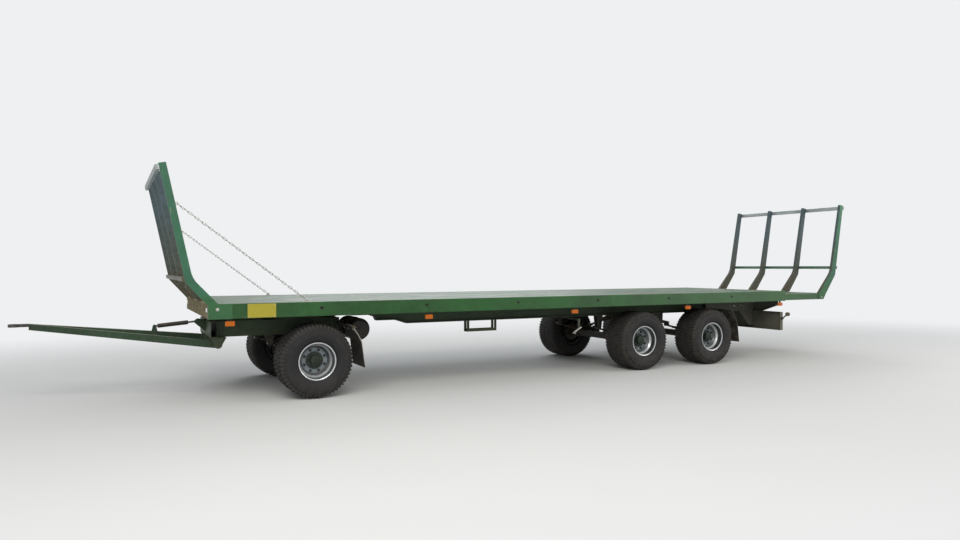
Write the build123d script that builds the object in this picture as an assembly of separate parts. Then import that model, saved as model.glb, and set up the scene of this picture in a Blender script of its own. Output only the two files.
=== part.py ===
from build123d import *
import math
import os

# Three-axle platform trailer with a turntable front axle, a ladder at each end and a rear
# platform that slides out. Millimetres. While it is modelled, x = 0 is the front end of the
# side rails and x grows to the rear, y = 0 is the centreline, z = 0 is the ground.

# Deck, side rails and floor. A size named ..._LAST is measured back from the deck's rear end
DECK_LENGTH = 9810
DECK_TOP = 1215
RAIL_Y = 1240
RAIL_HEIGHT = 180
RAIL_FLANGE = 60
RAIL_CORNER = 8
SHEET = 5
END_BEAM_DEPTH = 70
FLOOR_PANELS = 4
PANEL_SEAM = 3
LASHING_HOLE_FIRST = 1334
LASHING_HOLE_LAST = 1351
LASHING_HOLE_COUNT = 6
LASHING_HOLE_R = 12
LASHING_HOLE_DROP = 75

# Cross-members and the shallow stringers over the sliding frame
CROSS_FIRST = 420
CROSS_COUNT = 13
CROSS_LAST = 1110
CROSS_DEPTH = 100
CROSS_TIP_DEPTH = 60
CROSS_FLANGE = 45
STRINGER_DEPTH = 40
STRINGER_WIDTH = 50
STRINGER_ROWS = (-1140, -900, -600, -300, 0, 300, 600, 900, 1140)

# Main beams, with a raised neck over the turntable
BEAM_Y = 575
BEAM_START = 250
BEAM_LAST = 110
BEAM_WIDTH = 100
BEAM_WEB = 10
BEAM_FLANGE = 12
NECK_BOTTOM = 1045
NECK_END = 2200
NECK_STEP = 70
SHOULDER_BOTTOM = 905
SHOULDER_END = 2545
SHOULDER_RAMP = 170
BEAM_BOTTOM = 850
TAIL_TOP = 1110
TAIL_BOTTOM = 960
TAIL_LENGTH = 900
TAIL_RAMP = 350

# Wheels and axles
AXLE_Z = 466
FRONT_AXLE_X = 1288
REAR_AXLE_LAST = 1774
AXLE_SPREAD = 1482
TRACK = 2000
TYRE_WIDTH = 500
TYRE_SIDES = 24
BEAD_R = 220.2
BEAD_PLAY = 0.2
BEAD_HALF = 199
RIM_PLAY = 3
RIM_FLANGE_R = 238
RIM_HALF = 208
RIM_WALL = 7
HUB_R = 110
HUB_FACE = 62
CAP_R = 62
CAP_FACE = 120
DISC_FACE = 50
DISC_WALL = 12
DRUM_R = 152
DRUM_REACH = 210
STUB_R = 45
STUB_PLAY = 0.3
STUB_END = 20
AXLE_SQUARE = 100
AXLE_HALF = 760
BACKPLATE_R = 138
BACKPLATE_GAP = 4
BACKPLATE_THICK = 12
TYRE_LIP_DROP = 166
SHOULDER_DROPS = (30, 100)
SHOULDER_INSETS = (70, 20, 0)

# Spring clamps and brake gear, placed from the middle of the axle that carries them
CLAMP_LENGTH = 150
CLAMP_THICK = 16
CLAMP_LIFT = 2
CLAMP_LEG_R = 9
CLAMP_LEG_GAP = 0.5
CLAMP_NUT_REACH = 22
BRAKE_INSET = 170
BRAKE_ROD_R = 8
CHAMBER_BACK = 229
CHAMBER_RISE = 39
CHAMBER_R = 76
CHAMBER_RING_R = 86
CHAMBER_FRONT = 62
CHAMBER_REAR = 75
BRACKET_THICK = 14
BRACKET_WIDTH = 160
BRACKET_HEIGHT = 130
BRACKET_ARM = 50
LEVER_THICK = 20
LEVER_R = 30
LEVER_TIP_R = 15
CAM_BACK = 100
CAM_DROP = 66
CAM_R = 17

# Leaf springs
SPRING_HALF = 440
SPRING_CAMBER = 60
LEAF_COUNT = 5
LEAF_THICK = 12
LEAF_WIDTH = 76
SPRING_SEAT = 12
SEAT_HALF = 60
EYE_R = 30
EYE_PIN_R = 15
HANGER_PLATE = 10
HANGER_GAP = 0.3
HANGER_TOP = 8
FRONT_SPRING_Y = 450
HANGER_HALF = 60
SLIPPER_AHEAD = 70
SLIPPER_BEHIND = 45
SLIPPER_TAPER = 10
SLIPPER_DROP = 55
SLIPPER_PAD = 24
EQUALISER_RISE = 62
EQUALISER_PIN_R = 22
EQUALISER_R = 50
EQUALISER_PAD = 22
EQUALISER_ENDS = (20, 60, 30)
EQUALISER_PLATE_HALF = 120

# Turntable
RING_R = 550
RING_WIDTH = 70
TOP_PLATE = 12
TOP_PLATE_LENGTH = 1150
TOP_PLATE_HALF_WIDTH = 640
UPPER_RING = 40
LOWER_RING = 22
RING_PLAY = 0.3
RING_PLATE_OUT = 10
RING_PLATE_IN = 60

# Turning frame under the turntable
DOLLY_BEAM_Y = 450
DOLLY_BEAM_WIDTH = 80
DOLLY_BEAM_DEPTH = 200
DOLLY_FRONT = 110
DOLLY_REAR = 1778
DOLLY_CROSS_XS = (800, 1738)
DOLLY_CROSS_WIDTH = 80
DOLLY_PLATE = 12

# Drawbar
HINGE_X = 200
HINGE_Z = 668
HINGE_Y = 500
HINGE_PIN_R = 20
LUG_PLATE = 20
LUG_GAP = 2
LUG_R = 50
EYE_X = -2010
EYE_Z = 952
TOW_EYE_R = 25
TOW_EYE_OUTER = 62
TOW_EYE_THICK = 35
ARM_WIDTH = 80
ARM_DEPTH = 90
ARM_TIP_DEPTH = 70
ARM_LEAD = 22
DRAWBAR_NOSE = -1860
BRACE_R = 32

# Spring cylinder that carries the drawbar's weight
CYLINDER_FRONT = (-500, 889)
CYLINDER_REAR = (12, 936)
CYLINDER_R = 27
CYLINDER_BARREL = 400
CYLINDER_ROD_R = 12
CYLINDER_ROD_IN = 115
CYLINDER_EYE_R = 20
CYLINDER_EYE_WIDTH = 24
CYLINDER_PIN_R = 10
CYLINDER_CHEEK = 10
CYLINDER_GAP = 0.3
CYLINDER_PIN_OUT = 8
CYLINDER_NECK = 36
CYLINDER_HORN = 34
CYLINDER_CHEEK_HALF = 50
CYLINDER_BORE_END = 45

# Air tank on the turning frame
TANK_R = 150
TANK_GAP = 60
TANK_Z = 805
TANK_OUTER_Y = 745
TANK_LENGTH = 600
TANK_DISH = 45
TANK_STRAP = 40
TANK_STRAP_THICK = 6
TANK_ARM = 60

# Ladders, as (x outwards from the platform's end, height); the rear one faces the other way
POST_WIDTH = 50
POST_ROWS = (-1215, -405, 405, 1215)
POST_TOP_DEPTH = 80
POST_OUTER_BEND_R = 60
POST_INNER_BEND_R = 300
LADDER_TOP = 2820
FRONT_FOOT = (18, -111)
FRONT_OUTER_BEND = (242, 1467)
FRONT_INNER_BEND = (167, 1515)
FRONT_TOP_OUT = 523
REAR_FOOT = (77, -130)
REAR_OUTER_BEND = (335, 1503)
REAR_INNER_BEND = (226, 1549)
REAR_TOP_OUT = 562
TOP_BAR = (60, 40)
LOW_BAR = (50, 30)
FRONT_LOW_BAR_Z = 1512
REAR_LOW_BAR_Z = 1640
FOOT_LENGTH = 270
REAR_FOOT_LENGTH = 144
FOOT_RISE = 32
REAR_FOOT_RISE = 36
FOOT_PLATE = 10

# Sliding rear frame
EXT_REACH = 1050
EXT_GAP = 5
EXT_TOP = 1160
EXT_RAIL_BOTTOM = 1046
EXT_RAIL_Y = 1229
EXT_RAIL_FLANGE = 50
EXT_CROSS_DEPTH = 38
EXT_CROSS_WIDTH = 50
EXT_CROSS_COUNT = 4
SLIDE_BEAM_Y = 420
SLIDE_BEAM_SIZE = 100
PACKER_WIDTH = 60
SLIDE_BEAM_TOP = 1104
SLIDE_BEAM_LENGTH = 2710
GUIDE_LAST = (1030, 210)
GUIDE_WIDTH = 80
GUIDE_DEPTH = 28.5
GUIDE_PLAY = 0.3

# Light beam at the rear
LIGHT_BEAM_GAP = 20
LIGHT_BEAM_DEPTH = 70
LIGHT_BEAM_TOP = 835
LIGHT_BEAM_BOTTOM = 505
LIGHT_BEAM_HALF = 1200
LIGHT_BEAM_WALL = 4
LIGHT_ARM_LENGTH = 450
LIGHT_ARM_LOW = 60
LIGHT_ARM_TIP = 90
LIGHT_ARM_RAMP = 120
LAMP_LENGTH = 260
LAMP_HEIGHT = 120
LAMP_DEPTH = 38
LAMP_INSET = 30
LAMP_CORNER = 18
STALK_LAMP_BACK = 110
STALK_LAMP_Y = 1215
STALK_LAMP_Z = 790
STALK_LAMP_R = 34
STALK_LAMP_DEPTH = 46
STALK_DROP = 115
STALK_FOOT = 30
STALK_R = 13

# Mudguards behind the last wheel of each side, with a flap below
GUARD_R = 600
GUARD_TOP_ANGLE = 48
GUARD_LOW_ANGLE = 22
GUARD_THICK = 6
FLAP_BOTTOM = 355
FLAP_BACK = 600
GUARD_INNER_Y = 760
GUARD_OUTER_Y = 1235
GUARD_BAR = 40
GUARD_BAR_ANGLE = 40

# Small pieces on the frame
MARKER_FIRST = (243, 2793, 5183)
MARKER_LAST = (2350, 130)
MARKER_LENGTH = 106
MARKER_HEIGHT = 56
MARKER_DEPTH = 34
MARKER_BOTTOM = 951
MARKER_STEM = 40
MARKER_CORNER = 8
PLATE_START = 441
PLATE_LENGTH = 332
PLATE_HEIGHT = 166
PLATE_THICK = 2
TRAY_FRONT = 3670
TRAY_LENGTH = 500
TRAY_BOTTOM = 690
TRAY_STRAP = 40
TRAY_WALL = 6
CRANK_AHEAD = 1224
CRANK_Y = 1130
CRANK_Z = 730
CRANK_TILT = 30
CRANK_REACH = 160
CRANK_STRIP = 40
CRANK_WALL = 8
CRANK_OUT = 50
CRANK_PIN_R = 9
CRANK_LEVER_R = 12

# Chains that brace the front ladder
CHAIN_TOP_Z = 2372
CHAIN_FOOT_X = 1160
CHAIN_LUG_OUT = 19
CHAIN_LINKS = 39
CHAIN_WIRE = 8
CHAIN_LINK_WIDTH = 28
CHAIN_PLAY = 0.2
CHAIN_LUG = 10
CHAIN_LUG_R = 17
CHAIN_LUG_HOLE = 7
CHAIN_LUG_ROOT = 60

RAIL_BOTTOM = DECK_TOP - RAIL_HEIGHT
FLOOR_BOTTOM = DECK_TOP - SHEET
CROSS_BOTTOM = FLOOR_BOTTOM - CROSS_DEPTH
WHEEL_R = AXLE_Z
SPRING_BOTTOM = AXLE_Z + AXLE_SQUARE / 2 + SPRING_SEAT
SPRING_EYE_Z = SPRING_BOTTOM + LEAF_COUNT * LEAF_THICK + SPRING_CAMBER
DOLLY_TOP = NECK_BOTTOM - TOP_PLATE - UPPER_RING - RING_PLAY - LOWER_RING - DOLLY_PLATE
DOLLY_BOTTOM = DOLLY_TOP - DOLLY_BEAM_DEPTH
CROSS_PITCH = (DECK_LENGTH - CROSS_LAST - CROSS_FIRST) / (CROSS_COUNT - 1)
LAST_CROSS_END = DECK_LENGTH - CROSS_LAST + CROSS_FLANGE
BEAM_END = DECK_LENGTH - BEAM_LAST
TAIL_START = BEAM_END - TAIL_LENGTH
REAR_AXLE_XS = (DECK_LENGTH - REAR_AXLE_LAST - AXLE_SPREAD, DECK_LENGTH - REAR_AXLE_LAST)
AXLE_XS = (FRONT_AXLE_X,) + REAR_AXLE_XS
BOGIE_X = (REAR_AXLE_XS[0] + REAR_AXLE_XS[1]) / 2
EXT_START = DECK_LENGTH + EXT_GAP
EXT_END = DECK_LENGTH + EXT_REACH
GUIDE_XS = [DECK_LENGTH - last for last in GUIDE_LAST]
MARKER_XS = [*MARKER_FIRST, *(DECK_LENGTH - last for last in MARKER_LAST)]
LIGHT_BEAM_X = BEAM_END + LIGHT_BEAM_GAP
CRANK_X = REAR_AXLE_XS[0] - CRANK_AHEAD
EXT_CROSS_BOTTOM = EXT_TOP - SHEET - EXT_CROSS_DEPTH
EQUALISER_Z = SPRING_EYE_Z + EQUALISER_RISE


def face_of(points):
    """A flat outline from its corners."""
    return make_face(Polyline(*points, close=True))


def along_x(face, start, end):
    """A cross-section drawn in (y, z), run from start to end along x."""
    return extrude(Plane.YZ.offset(start) * face, amount=end - start, dir=(1, 0, 0))


def along_y(face, start, end):
    """A side outline drawn in (x, z), run from start to end along y."""
    return extrude(Plane.XZ.offset(-start) * face, amount=end - start, dir=(0, 1, 0))


def along_z(face, start, end):
    """A plan outline drawn in (x, y), run from start to end along z."""
    return extrude(Plane.XY.offset(start) * face, amount=end - start, dir=(0, 0, 1))


def block(x0, x1, y0, y1, z0, z1):
    """A bar or plate between two opposite corners."""
    return Pos((x0 + x1) / 2, (y0 + y1) / 2, (z0 + z1) / 2) * Box(x1 - x0, y1 - y0, z1 - z0)


def pin_y(x, y0, y1, z, radius):
    """A round bar across the trailer."""
    return Pos(x, (y0 + y1) / 2, z) * Rot(90, 0, 0) * Cylinder(radius, y1 - y0)


def rod(start, end, radius):
    """A round bar between two points."""
    direction = Vector(*end) - Vector(*start)
    return extrude(Plane(start, z_dir=direction) * Circle(radius), amount=direction.length)


def slab(outline, y0, y1):
    """A plate cut to a side outline, between two distances from the centreline in any order."""
    return along_y(outline, min(y0, y1), max(y0, y1))


def solids_of(pieces):
    """The separate solids of a piece or of a list of pieces."""
    if isinstance(pieces, (list, tuple)):
        return [solid for piece in pieces for solid in solids_of(piece)]
    return list(pieces.solids())


def channel_face(height, flange, wall, corner):
    """A folded channel that opens towards +x of its sketch, standing on y = 0."""
    outer = face_of([(0, 0), (flange, 0), (flange, height), (0, height)])
    outer = fillet(outer.vertices().group_by(Axis.X)[0], corner)
    return outer - Pos(wall + flange / 2, height / 2) * Rectangle(flange, height - 2 * wall)


# Deck

def side_rail():
    """The left side rail: a channel with lashing holes, its web outside and its front end closed."""
    section = Pos(-RAIL_Y, RAIL_BOTTOM) * channel_face(RAIL_HEIGHT, RAIL_FLANGE, SHEET, RAIL_CORNER)
    rail = along_x(section, 0, DECK_LENGTH)
    rail += block(0, SHEET, -RAIL_Y + RAIL_CORNER, -RAIL_Y + RAIL_FLANGE, RAIL_BOTTOM, DECK_TOP)
    hole_pitch = (DECK_LENGTH - LASHING_HOLE_LAST - LASHING_HOLE_FIRST) / (LASHING_HOLE_COUNT - 1)
    for i in range(LASHING_HOLE_COUNT):
        x = LASHING_HOLE_FIRST + i * hole_pitch
        z = DECK_TOP - LASHING_HOLE_DROP
        rail -= pin_y(x, -RAIL_Y - SHEET, -RAIL_Y + 2 * SHEET, z, LASHING_HOLE_R)
    return rail


def end_beams():
    """The front beam is as deep as the rails, the rear one leaves room for the sliding frame."""
    half = RAIL_Y - RAIL_FLANGE
    front = Pos(0, RAIL_BOTTOM) * channel_face(RAIL_HEIGHT, END_BEAM_DEPTH, SHEET, RAIL_CORNER)
    rear_face = channel_face(STRINGER_DEPTH + SHEET, END_BEAM_DEPTH, SHEET, SHEET)
    rear = Pos(DECK_LENGTH, FLOOR_BOTTOM - STRINGER_DEPTH) * mirror(rear_face, about=Plane.YZ)
    return [along_y(front, -half, half), along_y(rear, -half, half)]


def floor_panels():
    """Flat steel sheets between the rails, with a seam at each joint."""
    start = END_BEAM_DEPTH
    panel = (DECK_LENGTH - 2 * END_BEAM_DEPTH) / FLOOR_PANELS
    half = RAIL_Y - RAIL_FLANGE
    panels = []
    for i in range(FLOOR_PANELS):
        x0 = start + i * panel + (PANEL_SEAM if i else 0)
        panels.append(block(x0, start + (i + 1) * panel, -half, half, FLOOR_BOTTOM, DECK_TOP))
    return panels


def beam_outline():
    """Side view of a main beam: raised neck, shoulder, deep middle and a low tail."""
    return face_of([
        (BEAM_START, FLOOR_BOTTOM), (BEAM_START, NECK_BOTTOM), (NECK_END, NECK_BOTTOM),
        (NECK_END + NECK_STEP, SHOULDER_BOTTOM), (SHOULDER_END, SHOULDER_BOTTOM),
        (SHOULDER_END + SHOULDER_RAMP, BEAM_BOTTOM), (TAIL_START, BEAM_BOTTOM),
        (TAIL_START + TAIL_RAMP, TAIL_BOTTOM), (BEAM_END, TAIL_BOTTOM), (BEAM_END, TAIL_TOP),
        (LAST_CROSS_END, TAIL_TOP), (LAST_CROSS_END, FLOOR_BOTTOM)])


def main_beam(side):
    """A welded I-beam in two lengths, the neck and the rest."""
    outline = beam_outline()
    y = side * BEAM_Y
    beam = along_y(outline, y - BEAM_WIDTH / 2, y + BEAM_WIDTH / 2)
    pocket = offset(outline, amount=-BEAM_FLANGE, kind=Kind.INTERSECTION)
    beam -= along_y(pocket, y - BEAM_WIDTH / 2, y - BEAM_WEB / 2)
    beam -= along_y(pocket, y + BEAM_WEB / 2, y + BEAM_WIDTH / 2)
    ahead = block(BEAM_START, NECK_END, y - BEAM_WIDTH, y + BEAM_WIDTH, 0, DECK_TOP)
    return [beam & ahead, beam - ahead]


def cross_member(x, beams):
    """A pressed member cut round the main beams, shallow at the rails."""
    half = RAIL_Y - SHEET
    shoulder = BEAM_Y + BEAM_WIDTH / 2
    tip = FLOOR_BOTTOM - CROSS_TIP_DEPTH

    def outline(inset):
        low = CROSS_BOTTOM + inset
        high = FLOOR_BOTTOM - inset
        return face_of([(-half, high), (-half, tip + inset), (-shoulder, low), (shoulder, low),
                        (half, tip + inset), (half, high)])

    member = along_x(outline(0), x, x + CROSS_FLANGE) - along_x(outline(SHEET), x + SHEET, x + CROSS_FLANGE)
    for beam in beams:
        member -= beam
    return member


def stringers():
    """Shallow channels that carry the floor over the sliding frame."""
    low = FLOOR_BOTTOM - STRINGER_DEPTH
    section = Pos(-STRINGER_WIDTH / 2, 0) * channel_face(STRINGER_DEPTH, STRINGER_WIDTH, SHEET, SHEET)
    runs = []
    for y in STRINGER_ROWS:
        runs.append(along_x(Pos(y, low) * section, LAST_CROSS_END, DECK_LENGTH - END_BEAM_DEPTH))
    return runs


# Turntable

def turntable_upper():
    """The plate under the necks and the fixed ring of the turntable."""
    x0 = FRONT_AXLE_X - TOP_PLATE_LENGTH / 2
    top = NECK_BOTTOM - TOP_PLATE
    plate = block(x0, x0 + TOP_PLATE_LENGTH, -TOP_PLATE_HALF_WIDTH, TOP_PLATE_HALF_WIDTH, top, NECK_BOTTOM)
    ring = Circle(RING_R) - Circle(RING_R - RING_WIDTH)
    return plate + along_z(Pos(FRONT_AXLE_X, 0) * ring, top - UPPER_RING, top)


def turntable_lower():
    """The turning ring, under the fixed one."""
    ring = Circle(RING_R) - Circle(RING_R - RING_WIDTH)
    low = DOLLY_TOP + DOLLY_PLATE
    return along_z(Pos(FRONT_AXLE_X, 0) * ring, low, low + LOWER_RING)


def hinge_lug():
    """Side view of a lug that holds the drawbar's pin."""
    lug = face_of([(DOLLY_FRONT, DOLLY_BOTTOM), (HINGE_X - LUG_R, HINGE_Z), (HINGE_X + LUG_R, HINGE_Z),
                   (HINGE_X + 2 * LUG_R, DOLLY_BOTTOM)])
    return lug + Pos(HINGE_X, HINGE_Z) * Circle(LUG_R)


def dolly_frame():
    """The turning frame: two box beams, cross-beams, ring plate, drawbar lugs and pins."""
    section = Rectangle(DOLLY_BEAM_WIDTH, DOLLY_BEAM_DEPTH) - Rectangle(
        DOLLY_BEAM_WIDTH - 2 * SHEET, DOLLY_BEAM_DEPTH - 2 * SHEET)
    mid_z = (DOLLY_TOP + DOLLY_BOTTOM) / 2
    beam = along_x(Pos(-DOLLY_BEAM_Y, mid_z) * section, DOLLY_FRONT + DOLLY_CROSS_WIDTH, DOLLY_REAR)
    frame = beam + mirror(beam, about=Plane.XZ)
    inner = DOLLY_BEAM_Y - DOLLY_BEAM_WIDTH / 2
    cross = Rectangle(DOLLY_CROSS_WIDTH, DOLLY_BEAM_DEPTH) - Rectangle(
        DOLLY_CROSS_WIDTH - 2 * SHEET, DOLLY_BEAM_DEPTH - 2 * SHEET)
    for x in DOLLY_CROSS_XS:
        frame += along_y(Pos(x, mid_z) * cross, -inner, inner)
    head_half = HINGE_Y + ARM_WIDTH / 2 + LUG_GAP + LUG_PLATE
    frame += along_y(Pos(DOLLY_FRONT + DOLLY_CROSS_WIDTH / 2, mid_z) * cross, -head_half, head_half)
    plate = Circle(RING_R + RING_PLATE_OUT) - Circle(RING_R - RING_WIDTH - RING_PLATE_IN)
    frame += along_z(Pos(FRONT_AXLE_X, 0) * plate, DOLLY_TOP, DOLLY_TOP + DOLLY_PLATE)
    half_gap = ARM_WIDTH / 2 + LUG_GAP
    for plate in cylinder_bracket():
        frame += plate
    for side in (-1, 1):
        for edge in (-1, 1):
            start = side * HINGE_Y + edge * half_gap
            frame += slab(hinge_lug(), start, start + edge * LUG_PLATE)
        frame += pin_y(HINGE_X, side * HINGE_Y - half_gap, side * HINGE_Y + half_gap, HINGE_Z, HINGE_PIN_R)
    return frame


# Suspension

def leaf_spring(x, y):
    """A pack of leaves with the longest on top and an eye at its front end."""
    top_z = SPRING_BOTTOM + LEAF_COUNT * LEAF_THICK
    radius = (SPRING_HALF ** 2 + SPRING_CAMBER ** 2) / (2 * SPRING_CAMBER)
    centre_z = top_z + radius
    full_angle = math.asin(SPRING_HALF / radius)
    pack = Sketch()
    for i in range(LEAF_COUNT):
        angle = full_angle * (1 - i / (LEAF_COUNT + 0.5))
        outer = radius + (i + 1) * LEAF_THICK
        inner = radius + i * LEAF_THICK

        def at(r, a):
            return (r * math.sin(a), centre_z - r * math.cos(a))

        pack += make_face([
            ThreePointArc(at(inner, -angle), at(inner, 0), at(inner, angle)),
            Line(at(inner, angle), at(outer, angle)),
            ThreePointArc(at(outer, angle), at(outer, 0), at(outer, -angle)),
            Line(at(outer, -angle), at(inner, -angle))])
    eye = Pos(-SPRING_HALF, SPRING_EYE_Z)
    pack = pack + eye * Circle(EYE_R) - eye * Circle(EYE_PIN_R)
    return along_y(Pos(x, 0) * pack, y - LEAF_WIDTH / 2, y + LEAF_WIDTH / 2)


def cheeks(outline, y, middle):
    """Two plates either side of a spring, joined by the pieces between them."""
    hanger = middle
    for edge in (-1, 1):
        start = y + edge * (LEAF_WIDTH / 2 + HANGER_GAP)
        hanger += slab(outline, start, start + edge * HANGER_PLATE)
    return hanger


def hanger_top(x0, x1, y, top):
    """The plate that a hanger is welded under."""
    half = LEAF_WIDTH / 2 + HANGER_GAP + HANGER_PLATE
    return block(x0, x1, y - half, y + half, top - HANGER_TOP, top)


def eye_hanger(x, y, top):
    """Two cheeks and a pin that hold a spring's eye."""
    half = LEAF_WIDTH / 2 + HANGER_GAP
    outline = face_of([(x - HANGER_HALF, top), (x + HANGER_HALF, top), (x + EYE_R, SPRING_EYE_Z),
                       (x - EYE_R, SPRING_EYE_Z)])
    outline += Pos(x, SPRING_EYE_Z) * Circle(EYE_R)
    pin = pin_y(x, y - half, y + half, SPRING_EYE_Z, EYE_PIN_R - STUB_PLAY)
    return cheeks(outline, y, pin + hanger_top(x - HANGER_HALF, x + HANGER_HALF, y, top))


def slipper_hanger(x, y, top):
    """Two cheeks with a pad over the plain end of a spring."""
    half = LEAF_WIDTH / 2 + HANGER_GAP
    low = SPRING_EYE_Z + HANGER_GAP
    ahead, behind = x - SLIPPER_AHEAD, x + SLIPPER_BEHIND
    outline = face_of([(ahead, top), (behind, top), (behind - SLIPPER_TAPER, low - SLIPPER_DROP),
                       (ahead + 1.5 * SLIPPER_TAPER, low - SLIPPER_DROP)])
    pad = block(ahead + 2 * SLIPPER_TAPER, behind - SLIPPER_TAPER - 1, y - half, y + half, low, low + SLIPPER_PAD)
    return cheeks(outline, y, pad + hanger_top(ahead, behind, y, top))


def equaliser(x, y):
    """The rocker that shares the load between two springs."""
    reach = (REAR_AXLE_XS[1] - REAR_AXLE_XS[0]) / 2 - SPRING_HALF
    low = SPRING_EYE_Z + HANGER_GAP
    rear_low = low + EYE_R
    neck = EQUALISER_R - 5
    crown = EQUALISER_Z + EQUALISER_R - 2
    front, inner, rear = EQUALISER_ENDS
    body = face_of([(-reach - front, low), (-reach + inner, low), (-neck, EQUALISER_Z - neck),
                    (neck, EQUALISER_Z - neck), (reach - inner, rear_low), (reach + rear, rear_low),
                    (reach + rear, rear_low + EQUALISER_PAD), (EQUALISER_R, crown), (-EQUALISER_R, crown),
                    (-reach - front, low + EQUALISER_PAD)])
    body -= Pos(0, EQUALISER_Z) * Circle(EQUALISER_PIN_R)
    return along_y(Pos(x, 0) * body, y - LEAF_WIDTH / 2, y + LEAF_WIDTH / 2)


def equaliser_hanger(x, y):
    """The cheeks and pin that the rocker turns on."""
    half = LEAF_WIDTH / 2 + HANGER_GAP
    outline = face_of([(x - EQUALISER_PLATE_HALF, BEAM_BOTTOM), (x + EQUALISER_PLATE_HALF, BEAM_BOTTOM),
                       (x + EQUALISER_R, EQUALISER_Z), (x - EQUALISER_R, EQUALISER_Z)])
    outline += Pos(x, EQUALISER_Z) * Circle(EQUALISER_R)
    return cheeks(outline, y, pin_y(x, y - half, y + half, EQUALISER_Z, EQUALISER_PIN_R - STUB_PLAY))


def spring_clamp(x, y):
    """Two U-bolts round the axle and the spring, and the plate that they pull down."""
    plate_z = SPRING_BOTTOM + LEAF_COUNT * LEAF_THICK + CLAMP_LIFT
    low = AXLE_Z - AXLE_SQUARE / 2 - CLAMP_LEG_R
    leg_x = AXLE_SQUARE / 2 + CLAMP_LEG_R
    leg_y = LEAF_WIDTH / 2 + CLAMP_LEG_GAP + CLAMP_LEG_R
    half = leg_y + CLAMP_LEG_R
    clamp = block(x - CLAMP_LENGTH / 2, x + CLAMP_LENGTH / 2, y - half, y + half, plate_z, plate_z + CLAMP_THICK)
    for edge in (-1, 1):
        near = y + edge * leg_y
        clamp += rod((x - leg_x, near, low), (x + leg_x, near, low), CLAMP_LEG_R)
        for end in (-leg_x, leg_x):
            top = plate_z + CLAMP_THICK + CLAMP_NUT_REACH
            clamp += rod((x + end, near, low), (x + end, near, top), CLAMP_LEG_R)
    return clamp


def brake_gear(x, y, side):
    """A diaphragm chamber on its bracket, whose rod turns a lever on the camshaft."""
    mid_z = AXLE_Z + CHAMBER_RISE
    # radius, distance towards the axle
    outline = face_of([
        (0, -CHAMBER_REAR), (50, -CHAMBER_REAR), (CHAMBER_R - 4, 15 - CHAMBER_REAR), (CHAMBER_R, -8),
        (CHAMBER_RING_R, -6), (CHAMBER_RING_R, 6), (CHAMBER_R, 8), (CHAMBER_R - 6, CHAMBER_FRONT - 17),
        (45, CHAMBER_FRONT), (0, CHAMBER_FRONT)])
    chamber = revolve(Plane.XZ * outline, axis=Axis.Z)
    gear = Pos(x + CHAMBER_BACK, y, mid_z) * Rot(0, -90, 0) * chamber
    plate_x = x + CHAMBER_BACK - CHAMBER_FRONT
    low = mid_z - BRACKET_HEIGHT / 2
    gear += block(plate_x - BRACKET_THICK, plate_x, y - BRACKET_WIDTH / 2, y + BRACKET_WIDTH / 2,
                  low, low + BRACKET_HEIGHT)
    gear += block(x, plate_x, y - BRACKET_ARM / 2, y + BRACKET_ARM / 2, low, low + LEVER_THICK)
    cam_x = x + CAM_BACK
    cam_z = AXLE_Z - CAM_DROP
    gear += rod((plate_x, y, mid_z), (cam_x, y, mid_z), BRAKE_ROD_R)
    ends = [Pos(cam_x, cam_z) * Circle(LEVER_R), Pos(cam_x, mid_z) * Circle(LEVER_TIP_R)]
    lever = make_hull([edge for end in ends for edge in end.edges()])
    gear += along_y(lever, y - LEVER_THICK / 2, y + LEVER_THICK / 2)
    reach = side * (TRACK / 2 - DRUM_REACH - BACKPLATE_GAP - BACKPLATE_THICK)
    return gear + pin_y(cam_x, min(y, reach), max(y, reach), cam_z, CAM_R)


def axle(x, spring_y):
    """A square axle with stubs, brake gear and a clamped spring seat at each end."""
    half = AXLE_SQUARE / 2
    beam = block(x - half, x + half, -AXLE_HALF, AXLE_HALF, AXLE_Z - half, AXLE_Z + half)
    reach = TRACK / 2 + STUB_END - 2 * STUB_PLAY
    beam += pin_y(x, -reach, reach, AXLE_Z, STUB_R)
    plate_y = TRACK / 2 - DRUM_REACH - BACKPLATE_GAP
    for side in (-1, 1):
        near = min(side * plate_y, side * (plate_y - BACKPLATE_THICK))
        beam += pin_y(x, near, near + BACKPLATE_THICK, AXLE_Z, BACKPLATE_R)
        y = side * spring_y
        beam += block(x - SEAT_HALF, x + SEAT_HALF, y - LEAF_WIDTH / 2, y + LEAF_WIDTH / 2,
                      AXLE_Z + half, SPRING_BOTTOM)
        beam += spring_clamp(x, y)
        beam += brake_gear(x, side * (spring_y - BRAKE_INSET), side)
    return beam


# Wheels

def wheel_place(x, side):
    """Turns a wheel made about z, outer face up, onto its stub."""
    return Pos(x, side * TRACK / 2, AXLE_Z) * Rot(-90 * side, 0, 0)


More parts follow.
